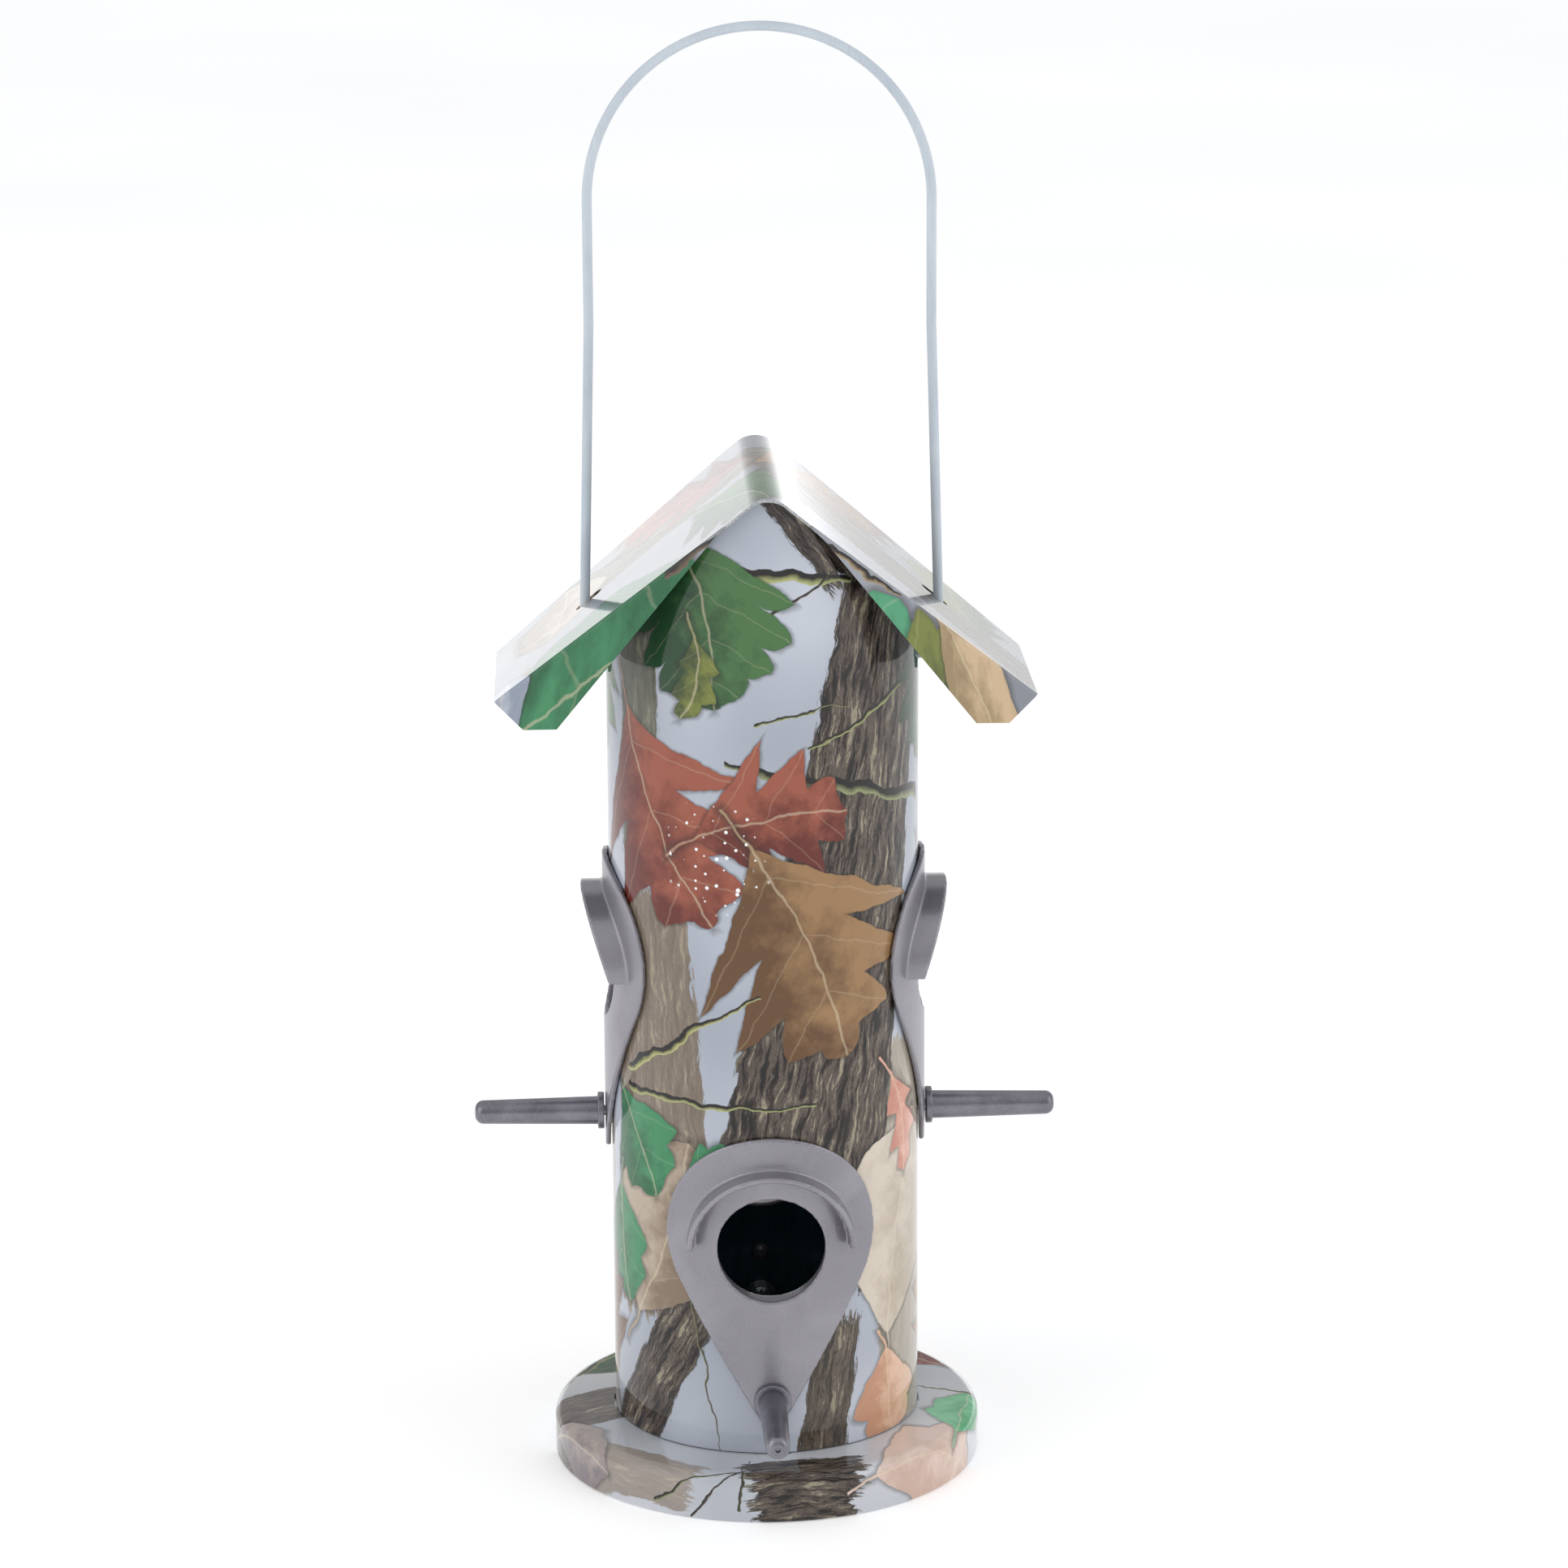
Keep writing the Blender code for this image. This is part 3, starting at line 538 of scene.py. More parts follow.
def print_on(tree, place, repeat, sky_low, sky_high, layers):
    """Lays the listed motifs one over another on the sky; gives back the print's colour."""
    surface = add(tree, "TexCoord", out="Object")
    # Ripples 9 mm long and up to 2 mm deep keep every outline from looking ruled.
    shake = add(tree, "TexNoise", {"Vector": surface, "Scale": 110.0, "Detail": 3.0}, out="Color")
    shake = add(tree, "VectorMath", {0: shake, 1: (0.5, 0.5, 0.5)}, operation="SUBTRACT")
    shake = add(tree, "VectorMath", {0: shake, "Scale": 7.0}, operation="SCALE")
    cloud = add(tree, "TexNoise", {"Vector": surface, "Scale": 22.0, "Detail": 1.0})
    colour = between(tree, cloud, sky_low, sky_high)
    shared = {"Place": place, "Ripple": shake, "Repeat": repeat}
    for kind, centre, *sizes in layers:
        common = {"Under": colour, "Centre": (*centre, 0.0), **shared}
        if kind == "leaf":
            degrees, length, width, lobes, depth, point, curl, (light, dark) = sizes
            colour = add(tree, "Group", {
                **common, "Turn": math.radians(degrees), "Length": length, "Width": width,
                "Lobes": lobes, "Depth": depth, "Point": point, "Curl": curl,
                "Light": ink(light), "Dark": ink(dark),
            }, node_tree=leaf)
        elif kind == "bark":
            degrees, length, width, flare, pale, tint = sizes
            colour = add(tree, "Group", {
                **common, "Turn": math.radians(degrees), "Length": length, "Width": width,
                "Flare": flare, "Pale": pale, "Tint": ink(tint),
            }, node_tree=bark)
        else:
            tip, thick, light = sizes
            reach = (tip[0] - centre[0], tip[1] - centre[1], 0.0)
            colour = add(tree, "Group", {
                **common, "Reach": reach, "Thick": thick, "Light": ink(light),
            }, node_tree=twig)
    return colour


def lacquer_over(tree, surface, colour, roughness, gloss):
    """Clear stoved lacquer on the print: a hard gloss with an orange peel about 2 mm across."""
    peel = add(tree, "TexNoise", {"Vector": surface, "Scale": 450.0, "Detail": 1.0})
    bump = add(tree, "Bump", {"Height": peel, "Strength": 0.04, "Distance": 0.0002})
    finish_with(tree, Base_Color=colour, Roughness=0.45, Specular_IOR_Level=0.08, Coat_Weight=1.0,
                Coat_Roughness=roughness, Coat_IOR=gloss, Coat_Normal=bump)


TUBE_LAYERS = (
    ("bark", (-36, 210), 90, 50, 7.5, 0.0, 0.5, "#7E8070"),
    ("bark", (48, 55), 88, 58, 18, 0.0, 0.62, "#C6BDAD"),
    ("bark", (-31, 98), 92, 54, 15, -0.06, 0.45, "#A39382"),
    ("bark", (21, 152), 80, 98, 19, -0.05, 0.0, "#7D7163"),
    ("bark", (-32, 27), 60, 28, 8.0, -0.05, 0.0, "#7D7163"),
    ("bark", (8, 243), 128, 18, 4.0, 0.0, 0.0, "#7D7163"),
    ("bark", (14, 22), 82, 24, 6.5, 0.0, 0.12, "#8F8271"),
    ("twig", (-7, 232), (21, 230), 1.9, OLIVE_EDGE),
    ("twig", (-9, 218), (19, 233), 0.7, "#6B5A48"),
    ("twig", (-3, 196), (22, 200), 0.5, OLIVE_EDGE),
    ("twig", (47, 206), (10, 190), 1.2, OLIVE_EDGE),
    ("twig", (49, 172), (-22, 189), 1.7, "#8C9268"),
    ("leaf", (-15, 221), -78, 44, 0.5, 4.2, 0.4, 0.5, 0.25, GREEN_LEAF),
    ("leaf", (-17, 206), -100, 22, 0.3, 3.0, 0.5, 0.8, 0.5, OLIVE_LEAF),
    ("leaf", (-30, 170), -62, 58, 0.5, 3.3, 0.62, 1.15, -0.2, RUST_LEAF),
    ("leaf", (0, 173), 10, 40, 0.5, 3.2, 0.6, 1.25, 0.3, RUST_LEAF),
    ("leaf", (10, 140), -66, 58, 0.56, 3.6, 0.6, 1.1, 0.2, TAN_LEAF),
    ("leaf", (-27, 66), 70, 50, 0.44, 2.4, 0.15, 1.0, -0.2, DEAD_LEAF),
    ("leaf", (37, 66), 76, 56, 0.42, 2.4, 0.15, 1.0, 0.2, ("#D2C6B7", "#B3A593")),
    ("leaf", (-37, 88), -60, 28, 0.5, 2.6, 0.3, 0.9, 0.2, BRIGHT_LEAF),
    ("leaf", (-46, 60), -82, 30, 0.4, 2.6, 0.3, 0.9, -0.2, BRIGHT_LEAF),
    ("leaf", (-14, 84), 30, 20, 0.4, 2.6, 0.3, 0.9, 0.2, BRIGHT_LEAF),
    ("leaf", (40, 92), -75, 28, 0.3, 3.0, 0.6, 1.3, 0.4, PEACH_LEAF),
    ("leaf", (34, 22), -85, 26, 0.5, 2.6, 0.3, 0.8, 0.2, ("#DDB79C", "#C08E70")),
    ("leaf", (57, 130), -85, 46, 0.42, 3.4, 0.55, 1.2, 0.2, RUST_LEAF),
    ("leaf", (56, 200), -95, 42, 0.46, 3.8, 0.45, 0.7, 0.2, GREEN_LEAF),
    ("leaf", (-58, 38), 100, 36, 0.42, 3.2, 0.5, 1.1, 0.2, TAN_LEAF),
    ("twig", (-40, 106), (-3, 129), 1.3, "#B9B87A"),
    ("twig", (-40, 101), (11, 100), 1.1, "#A8AC72"),
    ("twig", (-22, 62), (-13, 12), 0.6, "#D6CF98"),
)
printed_tin, tree = blank("lithographed_tinplate_tube")
surface = add(tree, "TexCoord", out="Object")
x = axis(tree, surface, "X")
front = calc(tree, "MULTIPLY", axis(tree, surface, "Y"), -1.0)
around = calc(tree, "ARCTAN2", x, front)
around = calc(tree, "MULTIPLY", around, TUBE_RADIUS * 1000)
up = calc(tree, "MULTIPLY", axis(tree, surface, "Z"), 1000.0)
flat_place = add(tree, "CombineXYZ", {0: around, 1: up})
colour = print_on(tree, flat_place, TUBE_REPEAT, "#989EAA", "#C2C7D2", TUBE_LAYERS)
# Dew on the rust leaves: white drops up to 1.2 mm across, one to a 2.5 mm cell.
cells = add(tree, "TexVoronoi", {"Vector": flat_place, "Scale": 0.4}, out="Distance",
            voronoi_dimensions="2D")
tint = add(tree, "TexVoronoi", {"Vector": flat_place, "Scale": 0.4}, out="Color",
           voronoi_dimensions="2D")
size = remap(tree, axis(tree, tint, "X"), (0.3, 1.0), (0.0, 0.24))
drop = calc(tree, "MULTIPLY", calc(tree, "SUBTRACT", size, cells), 18.0)
from_dew = add(tree, "VectorMath", {0: flat_place, 1: (-13.0, 163.0, 0.0)}, out="Value",
               operation="DISTANCE")
near_dew = remap(tree, from_dew, (9.0, 15.0), (1.0, 0.0))
drop = calc(tree, "MULTIPLY", drop, near_dew, use_clamp=True)
colour = mix(tree, drop, colour, ink("#F6F7F8"))
lacquer_over(tree, surface, colour, 0.03, 1.42)

# The inner face is coil-coated in a dark blue-green lacquer, smooth and glossy. Its blue-green is the
# lacquer's own, but its darkness is partly painted shade, taken from the shade inside the tube.
dark_lacquer_and_painted_shade, tree = blank("dark_lacquered_tinplate_and_painted_shade")
surface = add(tree, "TexCoord", out="Object")
streak_place = add(tree, "Mapping", {"Vector": surface, "Scale": (1.0, 1.0, 0.15)})
streak = add(tree, "TexNoise", {"Vector": streak_place, "Scale": 300.0, "Detail": 3.0})
colour = between(tree, streak, "#2A4B57", "#38606E")
rough = remap(tree, streak, (0.0, 1.0), (0.16, 0.3))
finish_with(tree, Base_Color=colour, Roughness=rough, Coat_Weight=0.5, Coat_Roughness=0.08)

# Cut edges show the bare steel core of the tinplate: bright, and finely scored by the shear.
bare_edge, tree = blank("sheared_tinplate_edge")
surface = add(tree, "TexCoord", out="Object")
score = add(tree, "TexNoise", {"Vector": surface, "Scale": 2500.0, "Detail": 2.0})
colour = between(tree, score, "#8E9092", "#C9CBCC")
rough = remap(tree, score, (0.0, 1.0), (0.25, 0.5))
finish_with(tree, Base_Color=colour, Roughness=rough, Metallic=1.0)


def sheet_metal(piece, printed):
    """The three finishes of a printed sheet: outer face, inner face and cut edge."""
    for index, material in enumerate((printed, dark_lacquer_and_painted_shade, bare_edge)):
        piece.data.materials[index] = material


sheet_metal(tube, printed_tin)
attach(tube, "tube")
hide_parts("tube_body")


# ---- Base pan ----
# A shallow pan pressed from the same printed tinplate: a drawn rim with a soft bend, its
# edge hemmed in flat to stand on, and four slots in its top for the tube's tabs.
PAN_RADIUS = 0.0532
PAN_HEIGHT = 0.012
PAN_TOP_BEND = 0.003
PAN_HEM_BEND = 0.001
PAN_HEM_WIDTH = 0.0045
pan = cylinder("pan", PAN_RADIUS, PAN_HEIGHT, (0, 0, PAN_HEIGHT / 2), TUBE_SIDES)
pick(pan, "polygons", lambda c, n: n.z < -0.9)
bpy.ops.mesh.inset(thickness=PAN_HEM_WIDTH)
bpy.ops.mesh.delete(type="FACE")
done()
for height, bend, rings in ((PAN_HEIGHT, PAN_TOP_BEND, 8), (0.0, PAN_HEM_BEND, 4)):
    pick(pan, "edges", lambda c, n: abs(c.z - height) < GAP
         and math.hypot(c.x, c.y) > PAN_RADIUS - SHEET)
    bpy.ops.mesh.bevel(offset=bend, segments=rings, affect="EDGES")
    done()
to_sheet(pan)
cutters = []
for quarter in range(4):
    angle = quarter * math.radians(90)
    middle = TUBE_RADIUS - SHEET / 2
    start()
    place = (middle * math.cos(angle), middle * math.sin(angle), PAN_HEIGHT)
    bpy.ops.mesh.primitive_cube_add(size=1.0, location=place, rotation=(0, 0, angle))
    bpy.context.object.scale = (SHEET + 2 * GAP, 2 * TAB_HALF + 2 * GAP, 4 * SHEET)
    cutters.append(named("slot"))
cut(pan, joined("slots", cutters))
merge(pan)
smooth(pan, flat_faces=True)

# The pan's print is drawn on the flat disc: down the rim, a point lies further out.
PAN_LAYERS = (
    ("bark", (-46, -6), 30, 26, 10, 0.0, 0.25, "#8F8580"),
    ("bark", (-40, -38), -38, 24, 8, 0.0, 0.6, "#B9AEA6"),
    ("bark", (8, -54), 8, 15, 12, 0.0, 0.0, "#7D7163"),
    ("bark", (4, 46), 70, 30, 13, 0.0, 0.0, "#7D7163"),
    ("leaf", (-50, -24), -66, 30, 0.34, 2.4, 0.2, 1.0, 0.2, ("#A79A95", "#7F7679")),
    ("leaf", (42, -36), 35, 42, 0.4, 2.6, 0.25, 0.9, 0.2, ("#DFC9BD", "#C8AB9D")),
    ("leaf", (48, -12), 80, 26, 0.36, 2.6, 0.3, 0.9, 0.2, ("#7DC79A", "#4C9E6C")),
    ("leaf", (30, 36), 130, 44, 0.42, 3.4, 0.55, 1.2, 0.2, RUST_LEAF),
    ("leaf", (-34, 34), 40, 42, 0.42, 4.0, 0.45, 0.6, 0.2, GREEN_LEAF),
    ("leaf", (4, 4), 20, 44, 0.42, 3.4, 0.5, 1.2, 0.2, TAN_LEAF),
    ("twig", (-34, -52), (-4, -50), 0.6, "#8C9268"),
    ("twig", (-24, -60), (-2, -46), 0.5, "#6B5A48"),
    ("twig", (-10, -62), (-6, -42), 0.5, "#8C9268"),
    ("twig", (-52, 10), (-30, 48), 1.0, OLIVE_EDGE),
    ("twig", (60, -4), (30, 10), 0.7, OLIVE_EDGE),
)
printed_pan, tree = blank("lithographed_tinplate_pan")
surface = add(tree, "TexCoord", out="Object")
level = axis(tree, surface, "Z")
flat = add(tree, "VectorMath", {0: surface, 1: (1000.0, 1000.0, 0.0)}, operation="MULTIPLY")
radius = add(tree, "VectorMath", {0: flat}, out="Value", operation="LENGTH")
down = calc(tree, "MULTIPLY_ADD", level, -1000.0, PAN_HEIGHT * 1000)
grown = calc(tree, "DIVIDE", calc(tree, "ADD", down, radius), radius)
flat_place = add(tree, "VectorMath", {0: flat, "Scale": grown}, operation="SCALE")
colour = print_on(tree, flat_place, NO_REPEAT, "#B0B4BC", "#CFD1D6", PAN_LAYERS)
lacquer_over(tree, surface, colour, 0.03, 1.42)
sheet_metal(pan, printed_pan)
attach(pan, "tube")
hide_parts("base_pan")


# ---- Roof ----
# One printed sheet folded over a soft ridge, with four end flaps bent down square to stiffen
# it.  The bail passes up through a round-ended slot in each panel, so the roof slides on it.
ROOF_HALF_SPAN = 0.0648
RIDGE_HALF_LENGTH = 0.041
EAVE_HALF_LENGTH = 0.027
FLAP_START = 0.070
FLAP_CORNERS = ((0.0073, 0.0144), (0.0009, 0.0096))
FOLD_BEND = 0.0009
SLOT_LENGTH = 0.008
SLOT_WIDTH = 0.0035
SLOT_CENTRE = 0.0419
APEX = RIDGE_TOP - RIDGE_BEND + RIDGE_BEND / math.cos(ROOF_PITCH)
EAVE_HEIGHT = APEX - ROOF_HALF_SPAN * math.tan(ROOF_PITCH)
START_X = ROOF_HALF_SPAN - FLAP_START * math.cos(ROOF_PITCH)
START_HEIGHT = EAVE_HEIGHT + FLAP_START * math.sin(ROOF_PITCH)

start()
bpy.ops.mesh.primitive_plane_add(size=1.0, location=(0, 0, EAVE_HEIGHT))
bpy.context.object.scale = (2 * ROOF_HALF_SPAN, 2 * RIDGE_HALF_LENGTH, 1.0)
roof = named("roof_sheet")
for across in (-START_X, 0.0, START_X):
    select_all()
    bpy.ops.mesh.bisect(plane_co=(across, 0, 0), plane_no=(1, 0, 0))
    done()
pick(roof, "vertices", lambda c, n: abs(c.x) > ROOF_HALF_SPAN - GAP)
narrowing = EAVE_HALF_LENGTH / RIDGE_HALF_LENGTH
bpy.ops.transform.resize(value=(1.0, narrowing, 1.0), center_override=(0, 0, 0))
done()
for across in (START_X, 0.0):
    pick(roof, "vertices", lambda c, n: abs(abs(c.x) - across) < GAP)
    bpy.ops.transform.translate(value=(0, 0, (ROOF_HALF_SPAN - across) * math.tan(ROOF_PITCH)))
    done()
for side in (-1, 1):
    down = Vector((-side * math.sin(ROOF_PITCH), 0.0, -math.cos(ROOF_PITCH)))
    for end in (-1, 1):
        eave = Vector((side * ROOF_HALF_SPAN, end * EAVE_HALF_LENGTH, EAVE_HEIGHT))
        first = Vector((side * START_X, end * RIDGE_HALF_LENGTH, START_HEIGHT))
        pick(roof, "edges", lambda c, n: (c - (eave + first) / 2).length < GAP)
        bpy.ops.mesh.extrude_edges_move(TRANSFORM_OT_translate={"value": down * FLAP_CORNERS[1][1]})
        done()
        line = (first - eave) / FLAP_START
        for corner, (distance, depth) in zip((first, eave), FLAP_CORNERS):
            now = corner + down * FLAP_CORNERS[1][1]
            pick(roof, "vertices", lambda c, n: (c - now).length < GAP)
            bpy.ops.transform.translate(value=eave + line * distance + down * depth - now)
            done()
ridge_offset = RIDGE_BEND * math.tan(ROOF_PITCH)
pick(roof, "edges", lambda c, n: abs(c.x) < GAP and abs(c.y) < GAP)
bpy.ops.mesh.bevel(offset=ridge_offset, segments=14, affect="EDGES")
done()
fold = Vector((ROOF_HALF_SPAN + START_X, EAVE_HALF_LENGTH + RIDGE_HALF_LENGTH,
               EAVE_HEIGHT + START_HEIGHT)) / 2
pick(roof, "edges", lambda c, n: (Vector((abs(c.x), abs(c.y), c.z)) - fold).length < GAP)
bpy.ops.mesh.bevel(offset=FOLD_BEND, segments=4, affect="EDGES")
done()
merge(roof, outwards=True)
to_sheet(roof)
for side in (-1, 1):
    centre = Vector((side * SLOT_CENTRE, 0.0, APEX - SLOT_CENTRE * math.tan(ROOF_PITCH)))
    cutter = cylinder("slot", SLOT_WIDTH / 2, 4 * SLOT_WIDTH, (0, 0, 0), 32)
    for half_side in (-1, 1):
        pick(cutter, "vertices", lambda c, n: c.x * half_side > GAP / 10)
        bpy.ops.transform.translate(value=(half_side * (SLOT_LENGTH - SLOT_WIDTH) / 2, 0, 0))
        done()
    cutter.rotation_euler = (0.0, side * ROOF_PITCH, 0.0)
    cutter.location = centre
    start(cutter)
    named("slot")
    cut(roof, cutter)
merge(roof)
smooth(roof, 35, flat_faces=True)

# The roof's print is drawn on the unfolded sheet: on a flap, a point lies further out.
ROOF_LAYERS = (
    ("bark", (-34, 12), 4, 44, 12, 0.0, 0.3, "#A89C8C"),
    ("bark", (42, -8), -6, 44, 13, 0.0, 0.1, "#8F8271"),
    ("bark", (-76, -36), 60, 14, 6, 0.0, 0.4, "#B3A899"),
    ("leaf", (-24, 24), 150, 46, 0.42, 3.6, 0.6, 1.2, 0.2, RUST_LEAF),
    ("leaf", (20, 18), 30, 50, 0.44, 3.6, 0.6, 1.2, -0.2, TAN_LEAF),
    ("leaf", (-8, -20), -60, 44, 0.42, 4.2, 0.45, 0.6, 0.2, GREEN_LEAF),
    ("leaf", (62, 14), 100, 40, 0.42, 4.2, 0.45, 0.6, 0.2, OLIVE_LEAF),
    ("leaf", (-62, 10), -100, 40, 0.36, 2.4, 0.15, 1.0, 0.2, DEAD_LEAF),
    ("leaf", (44, 44), 10, 44, 0.4, 3.4, 0.5, 1.1, 0.2, RUST_LEAF),
    ("leaf", (-44, 46), 170, 46, 0.4, 3.4, 0.5, 1.1, 0.2, TAN_LEAF),
    ("leaf", (-50, -42), 170, 62, 0.42, 2.4, 0.15, 0.7, 0.1, BRIGHT_LEAF),
    ("leaf", (40, -50), -6, 40, 0.34, 2.4, 0.15, 0.7, 0.1, ("#4C9A72", "#2A6B4C")),
    ("leaf", (54, -44), 24, 36, 0.36, 3.0, 0.3, 0.8, 0.1, OLIVE_LEAF),
    ("leaf", (66, -38), -30, 34, 0.36, 2.4, 0.2, 0.9, 0.1, ("#C9AE8C", "#98825F")),
    ("leaf", (-82, -30), 80, 20, 0.44, 2.4, 0.15, 0.7, 0.1, ("#B9C0CC", "#8C95A4")),
    ("twig", (-30, -38), (-4, -44), 1.2, "#6B5A48"),
    ("twig", (10, -44), (40, -36), 1.2, "#A08A68"),
    ("twig", (-60, 30), (-10, -8), 1.1, OLIVE_EDGE),
    ("twig", (70, -20), (14, 4), 1.1, OLIVE_EDGE),
)
printed_roof, tree = blank("lithographed_tinplate_roof")
surface = add(tree, "TexCoord", out="Object")
x = axis(tree, surface, "X")
y = axis(tree, surface, "Y")
z = axis(tree, surface, "Z")
down_slope = calc(tree, "MULTIPLY", x, 1000 / math.cos(ROOF_PITCH))
panel = calc(tree, "MULTIPLY_ADD", calc(tree, "ABSOLUTE", x), -math.tan(ROOF_PITCH), APEX)
folded = calc(tree, "MULTIPLY", calc(tree, "SUBTRACT", panel, z), 1000 * math.cos(ROOF_PITCH))
out_y = calc(tree, "MULTIPLY_ADD", calc(tree, "ABSOLUTE", y), 1000.0, folded)
out_y = calc(tree, "MULTIPLY", out_y, calc(tree, "SIGN", y))
flat_place = add(tree, "CombineXYZ", {0: down_slope, 1: out_y})
colour = print_on(tree, flat_place, NO_REPEAT, "#81858D", "#989BA3", ROOF_LAYERS)
lacquer_over(tree, surface, colour, 0.06, 1.5)
sheet_metal(roof, printed_roof)
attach(roof, "roof")
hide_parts("roof")


# ---- Wire bail ----
# Round steel wire bent to a tall arch and painted blue-grey.  Its two ends turn in through
# the tube's walls and hook down inside, so that it can swing.
WIRE_RADIUS = 0.0012
BAIL_TOP = 0.3562
BAIL_HALF_WIDTH = 0.041
BAIL_KNEE = 0.285
BAIL_FOOT_HALF_WIDTH = 0.0431
BAIL_FOOT_BEND = 0.003
BAIL_HOOK_BEND = 0.0022
BAIL_HOOK_INNER = 0.0315
BAIL_HOOK_DROP = 0.006


def bend(centre, degrees, steps):
    """Spins the wire's open end about a point (x, z), from +Z towards +X where positive."""
    bpy.ops.mesh.spin(steps=steps, angle=-math.radians(degrees), center=(centre[0], 0.0, centre[1]),
                      axis=(0.0, 1.0, 0.0), use_auto_merge=False)


def run(x, z):
    bpy.ops.mesh.extrude_edges_move(TRANSFORM_OT_translate={"value": (x, 0.0, z)})


start()
bpy.ops.mesh.primitive_circle_add(vertices=24, radius=WIRE_RADIUS, location=(0, 0, BAIL_TOP),
                                  rotation=(0, math.radians(90), 0))
bail = named("bail")
pick(bail, "edges", lambda c, n: True)
arch_centre = BAIL_TOP - BAIL_HALF_WIDTH
bend((0.0, arch_centre), 90, 32)
run(0.0, BAIL_KNEE - arch_centre)
foot_centre = BAIL_FOOT_HALF_WIDTH - BAIL_FOOT_BEND, BAIL_PIVOT + BAIL_FOOT_BEND
run(BAIL_FOOT_HALF_WIDTH - BAIL_HALF_WIDTH, foot_centre[1] - BAIL_KNEE)
bend(foot_centre, 90, 10)
hook_centre = BAIL_HOOK_INNER + BAIL_HOOK_BEND, BAIL_PIVOT - BAIL_HOOK_BEND
run(hook_centre[0] - foot_centre[0], 0.0)
bend(hook_centre, -90, 8)
run(0.0, BAIL_HOOK_BEND - BAIL_HOOK_DROP)
bpy.ops.mesh.edge_face_add()
bpy.ops.mesh.bevel(offset=WIRE_RADIUS / 4, segments=3, affect="EDGES")
done()
modify(bail, "MIRROR", use_axis=(True, False, False), use_mirror_merge=True, merge_threshold=0.00001)
merge(bail, outwards=True)
smooth(bail, 40)
# Stoved paint over drawn wire: fine draw lines along it telegraph through as a soft sheen.
wire_paint, tree = blank("stoved_paint_on_wire")
surface = add(tree, "TexCoord", out="Object")
line_place = add(tree, "Mapping", {"Vector": surface, "Scale": (1.0, 1.0, 0.05)})
lines = add(tree, "TexNoise", {"Vector": line_place, "Scale": 2600.0, "Detail": 3.0})
patches = add(tree, "TexNoise", {"Vector": surface, "Scale": 60.0, "Detail": 2.0})
tone = calc(tree, "MULTIPLY_ADD", lines, 0.4, calc(tree, "MULTIPLY", patches, 0.6))
colour = between(tree, tone, "#B2BCC6", "#CAD3DB")
rough = remap(tree, tone, (0.0, 1.0), (0.3, 0.45))
bump = add(tree, "Bump", {"Height": lines, "Strength": 0.15, "Distance": 0.0001})
finish_with(tree, Base_Color=colour, Roughness=rough, Normal=bump)
bail.data.materials.append(wire_paint)
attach(bail, "bail")
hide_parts("bail_wire")


# ---- Seed ports ----
# Injection-moulded satin grey plastic, four alike: a teardrop plate bent to the tube, a
# sleeve through its wall that runs on above as a seed shield, a half-round hood over the
# hole, and a peg below whose head is formed over inside the tube.
PLATE_INNER = TUBE_RADIUS + GAP
PLATE_OUTER = 0.0396
PLATE_HALF_WIDTH = 0.0275
PLATE_HALF_HEIGHT = 0.025
PLATE_CENTRE = 0.0035
PLATE_TIP_RADIUS = 0.0015
PLATE_TIP = -0.046
PORT_HOLE = 0.0131
SLEEVE_RADIUS = 0.0143
SLEEVE_END = 0.0342
SHIELD_END = 0.025
HOOD_RADIUS = 0.0205
HOOD_WALL = 0.0014
HOOD_REACH_TOP = 0.045
HOOD_REACH_SIDE = 0.0385
STAKE_RADIUS = 0.0015
STAKE_HEAD = 0.0025
STAKE_HEAD_FLATNESS = 0.6
BEND_STRIP = 0.002
MOULD_GRAIN = 0.0004
FACING = (math.radians(90), 0.0, 0.0)

plate_wall = PLATE_OUTER - PLATE_INNER
oval = cylinder("oval", PLATE_HALF_WIDTH, plate_wall, (0, plate_wall / 2, 0), 96, FACING)
select_all()
squash = PLATE_HALF_HEIGHT / PLATE_HALF_WIDTH
bpy.ops.transform.resize(value=(1.0, 1.0, squash), center_override=(0, 0, 0))
bpy.ops.transform.translate(value=(0, 0, PLATE_CENTRE))
done()
tip = cylinder("tip", PLATE_TIP_RADIUS, plate_wall, (0, plate_wall / 2, PLATE_TIP), 24, FACING)
plate = joined("plate", [oval, tip])
select_all()
bpy.ops.mesh.convex_hull()
done()
for strip in range(-13, 14):
    select_all()
    bpy.ops.mesh.bisect(plane_co=(strip * BEND_STRIP, 0, 0), plane_no=(1, 0, 0))
    done()
modify(plate, "SIMPLE_DEFORM", deform_method="BEND", deform_axis="Z",
       angle=2 * PLATE_HALF_WIDTH / PLATE_OUTER)
select_all()
bpy.ops.transform.translate(value=(0, -PLATE_OUTER, 0))
done()
core_radius = (PLATE_INNER + PLATE_OUTER) / 2
sleeve = cylinder("sleeve", SLEEVE_RADIUS, PLATE_OUTER - SHIELD_END,
                  (0, -(PLATE_OUTER + SHIELD_END) / 2, 0), 96, FACING)
cut(sleeve, cylinder("core", core_radius, 4 * SLEEVE_RADIUS, (0, 0, 0), TUBE_SIDES), "INTERSECT")
start()
bpy.ops.mesh.primitive_cube_add(size=1.0, location=(0, -SLEEVE_END / 2, -SLEEVE_RADIUS))
bpy.context.object.scale = (4 * SLEEVE_RADIUS, SLEEVE_END, 2 * SLEEVE_RADIUS)
cut(sleeve, named("below"))
for part in (plate, sleeve):
    cut(part, cylinder("hole", PORT_HOLE, 2 * PLATE_OUTER, (0, -PLATE_OUTER, 0), 96, FACING))
hood = cylinder("hood", HOOD_RADIUS, PLATE_OUTER, (0, -PLATE_OUTER, 0), 96, FACING, ends="NOTHING")
select_all()
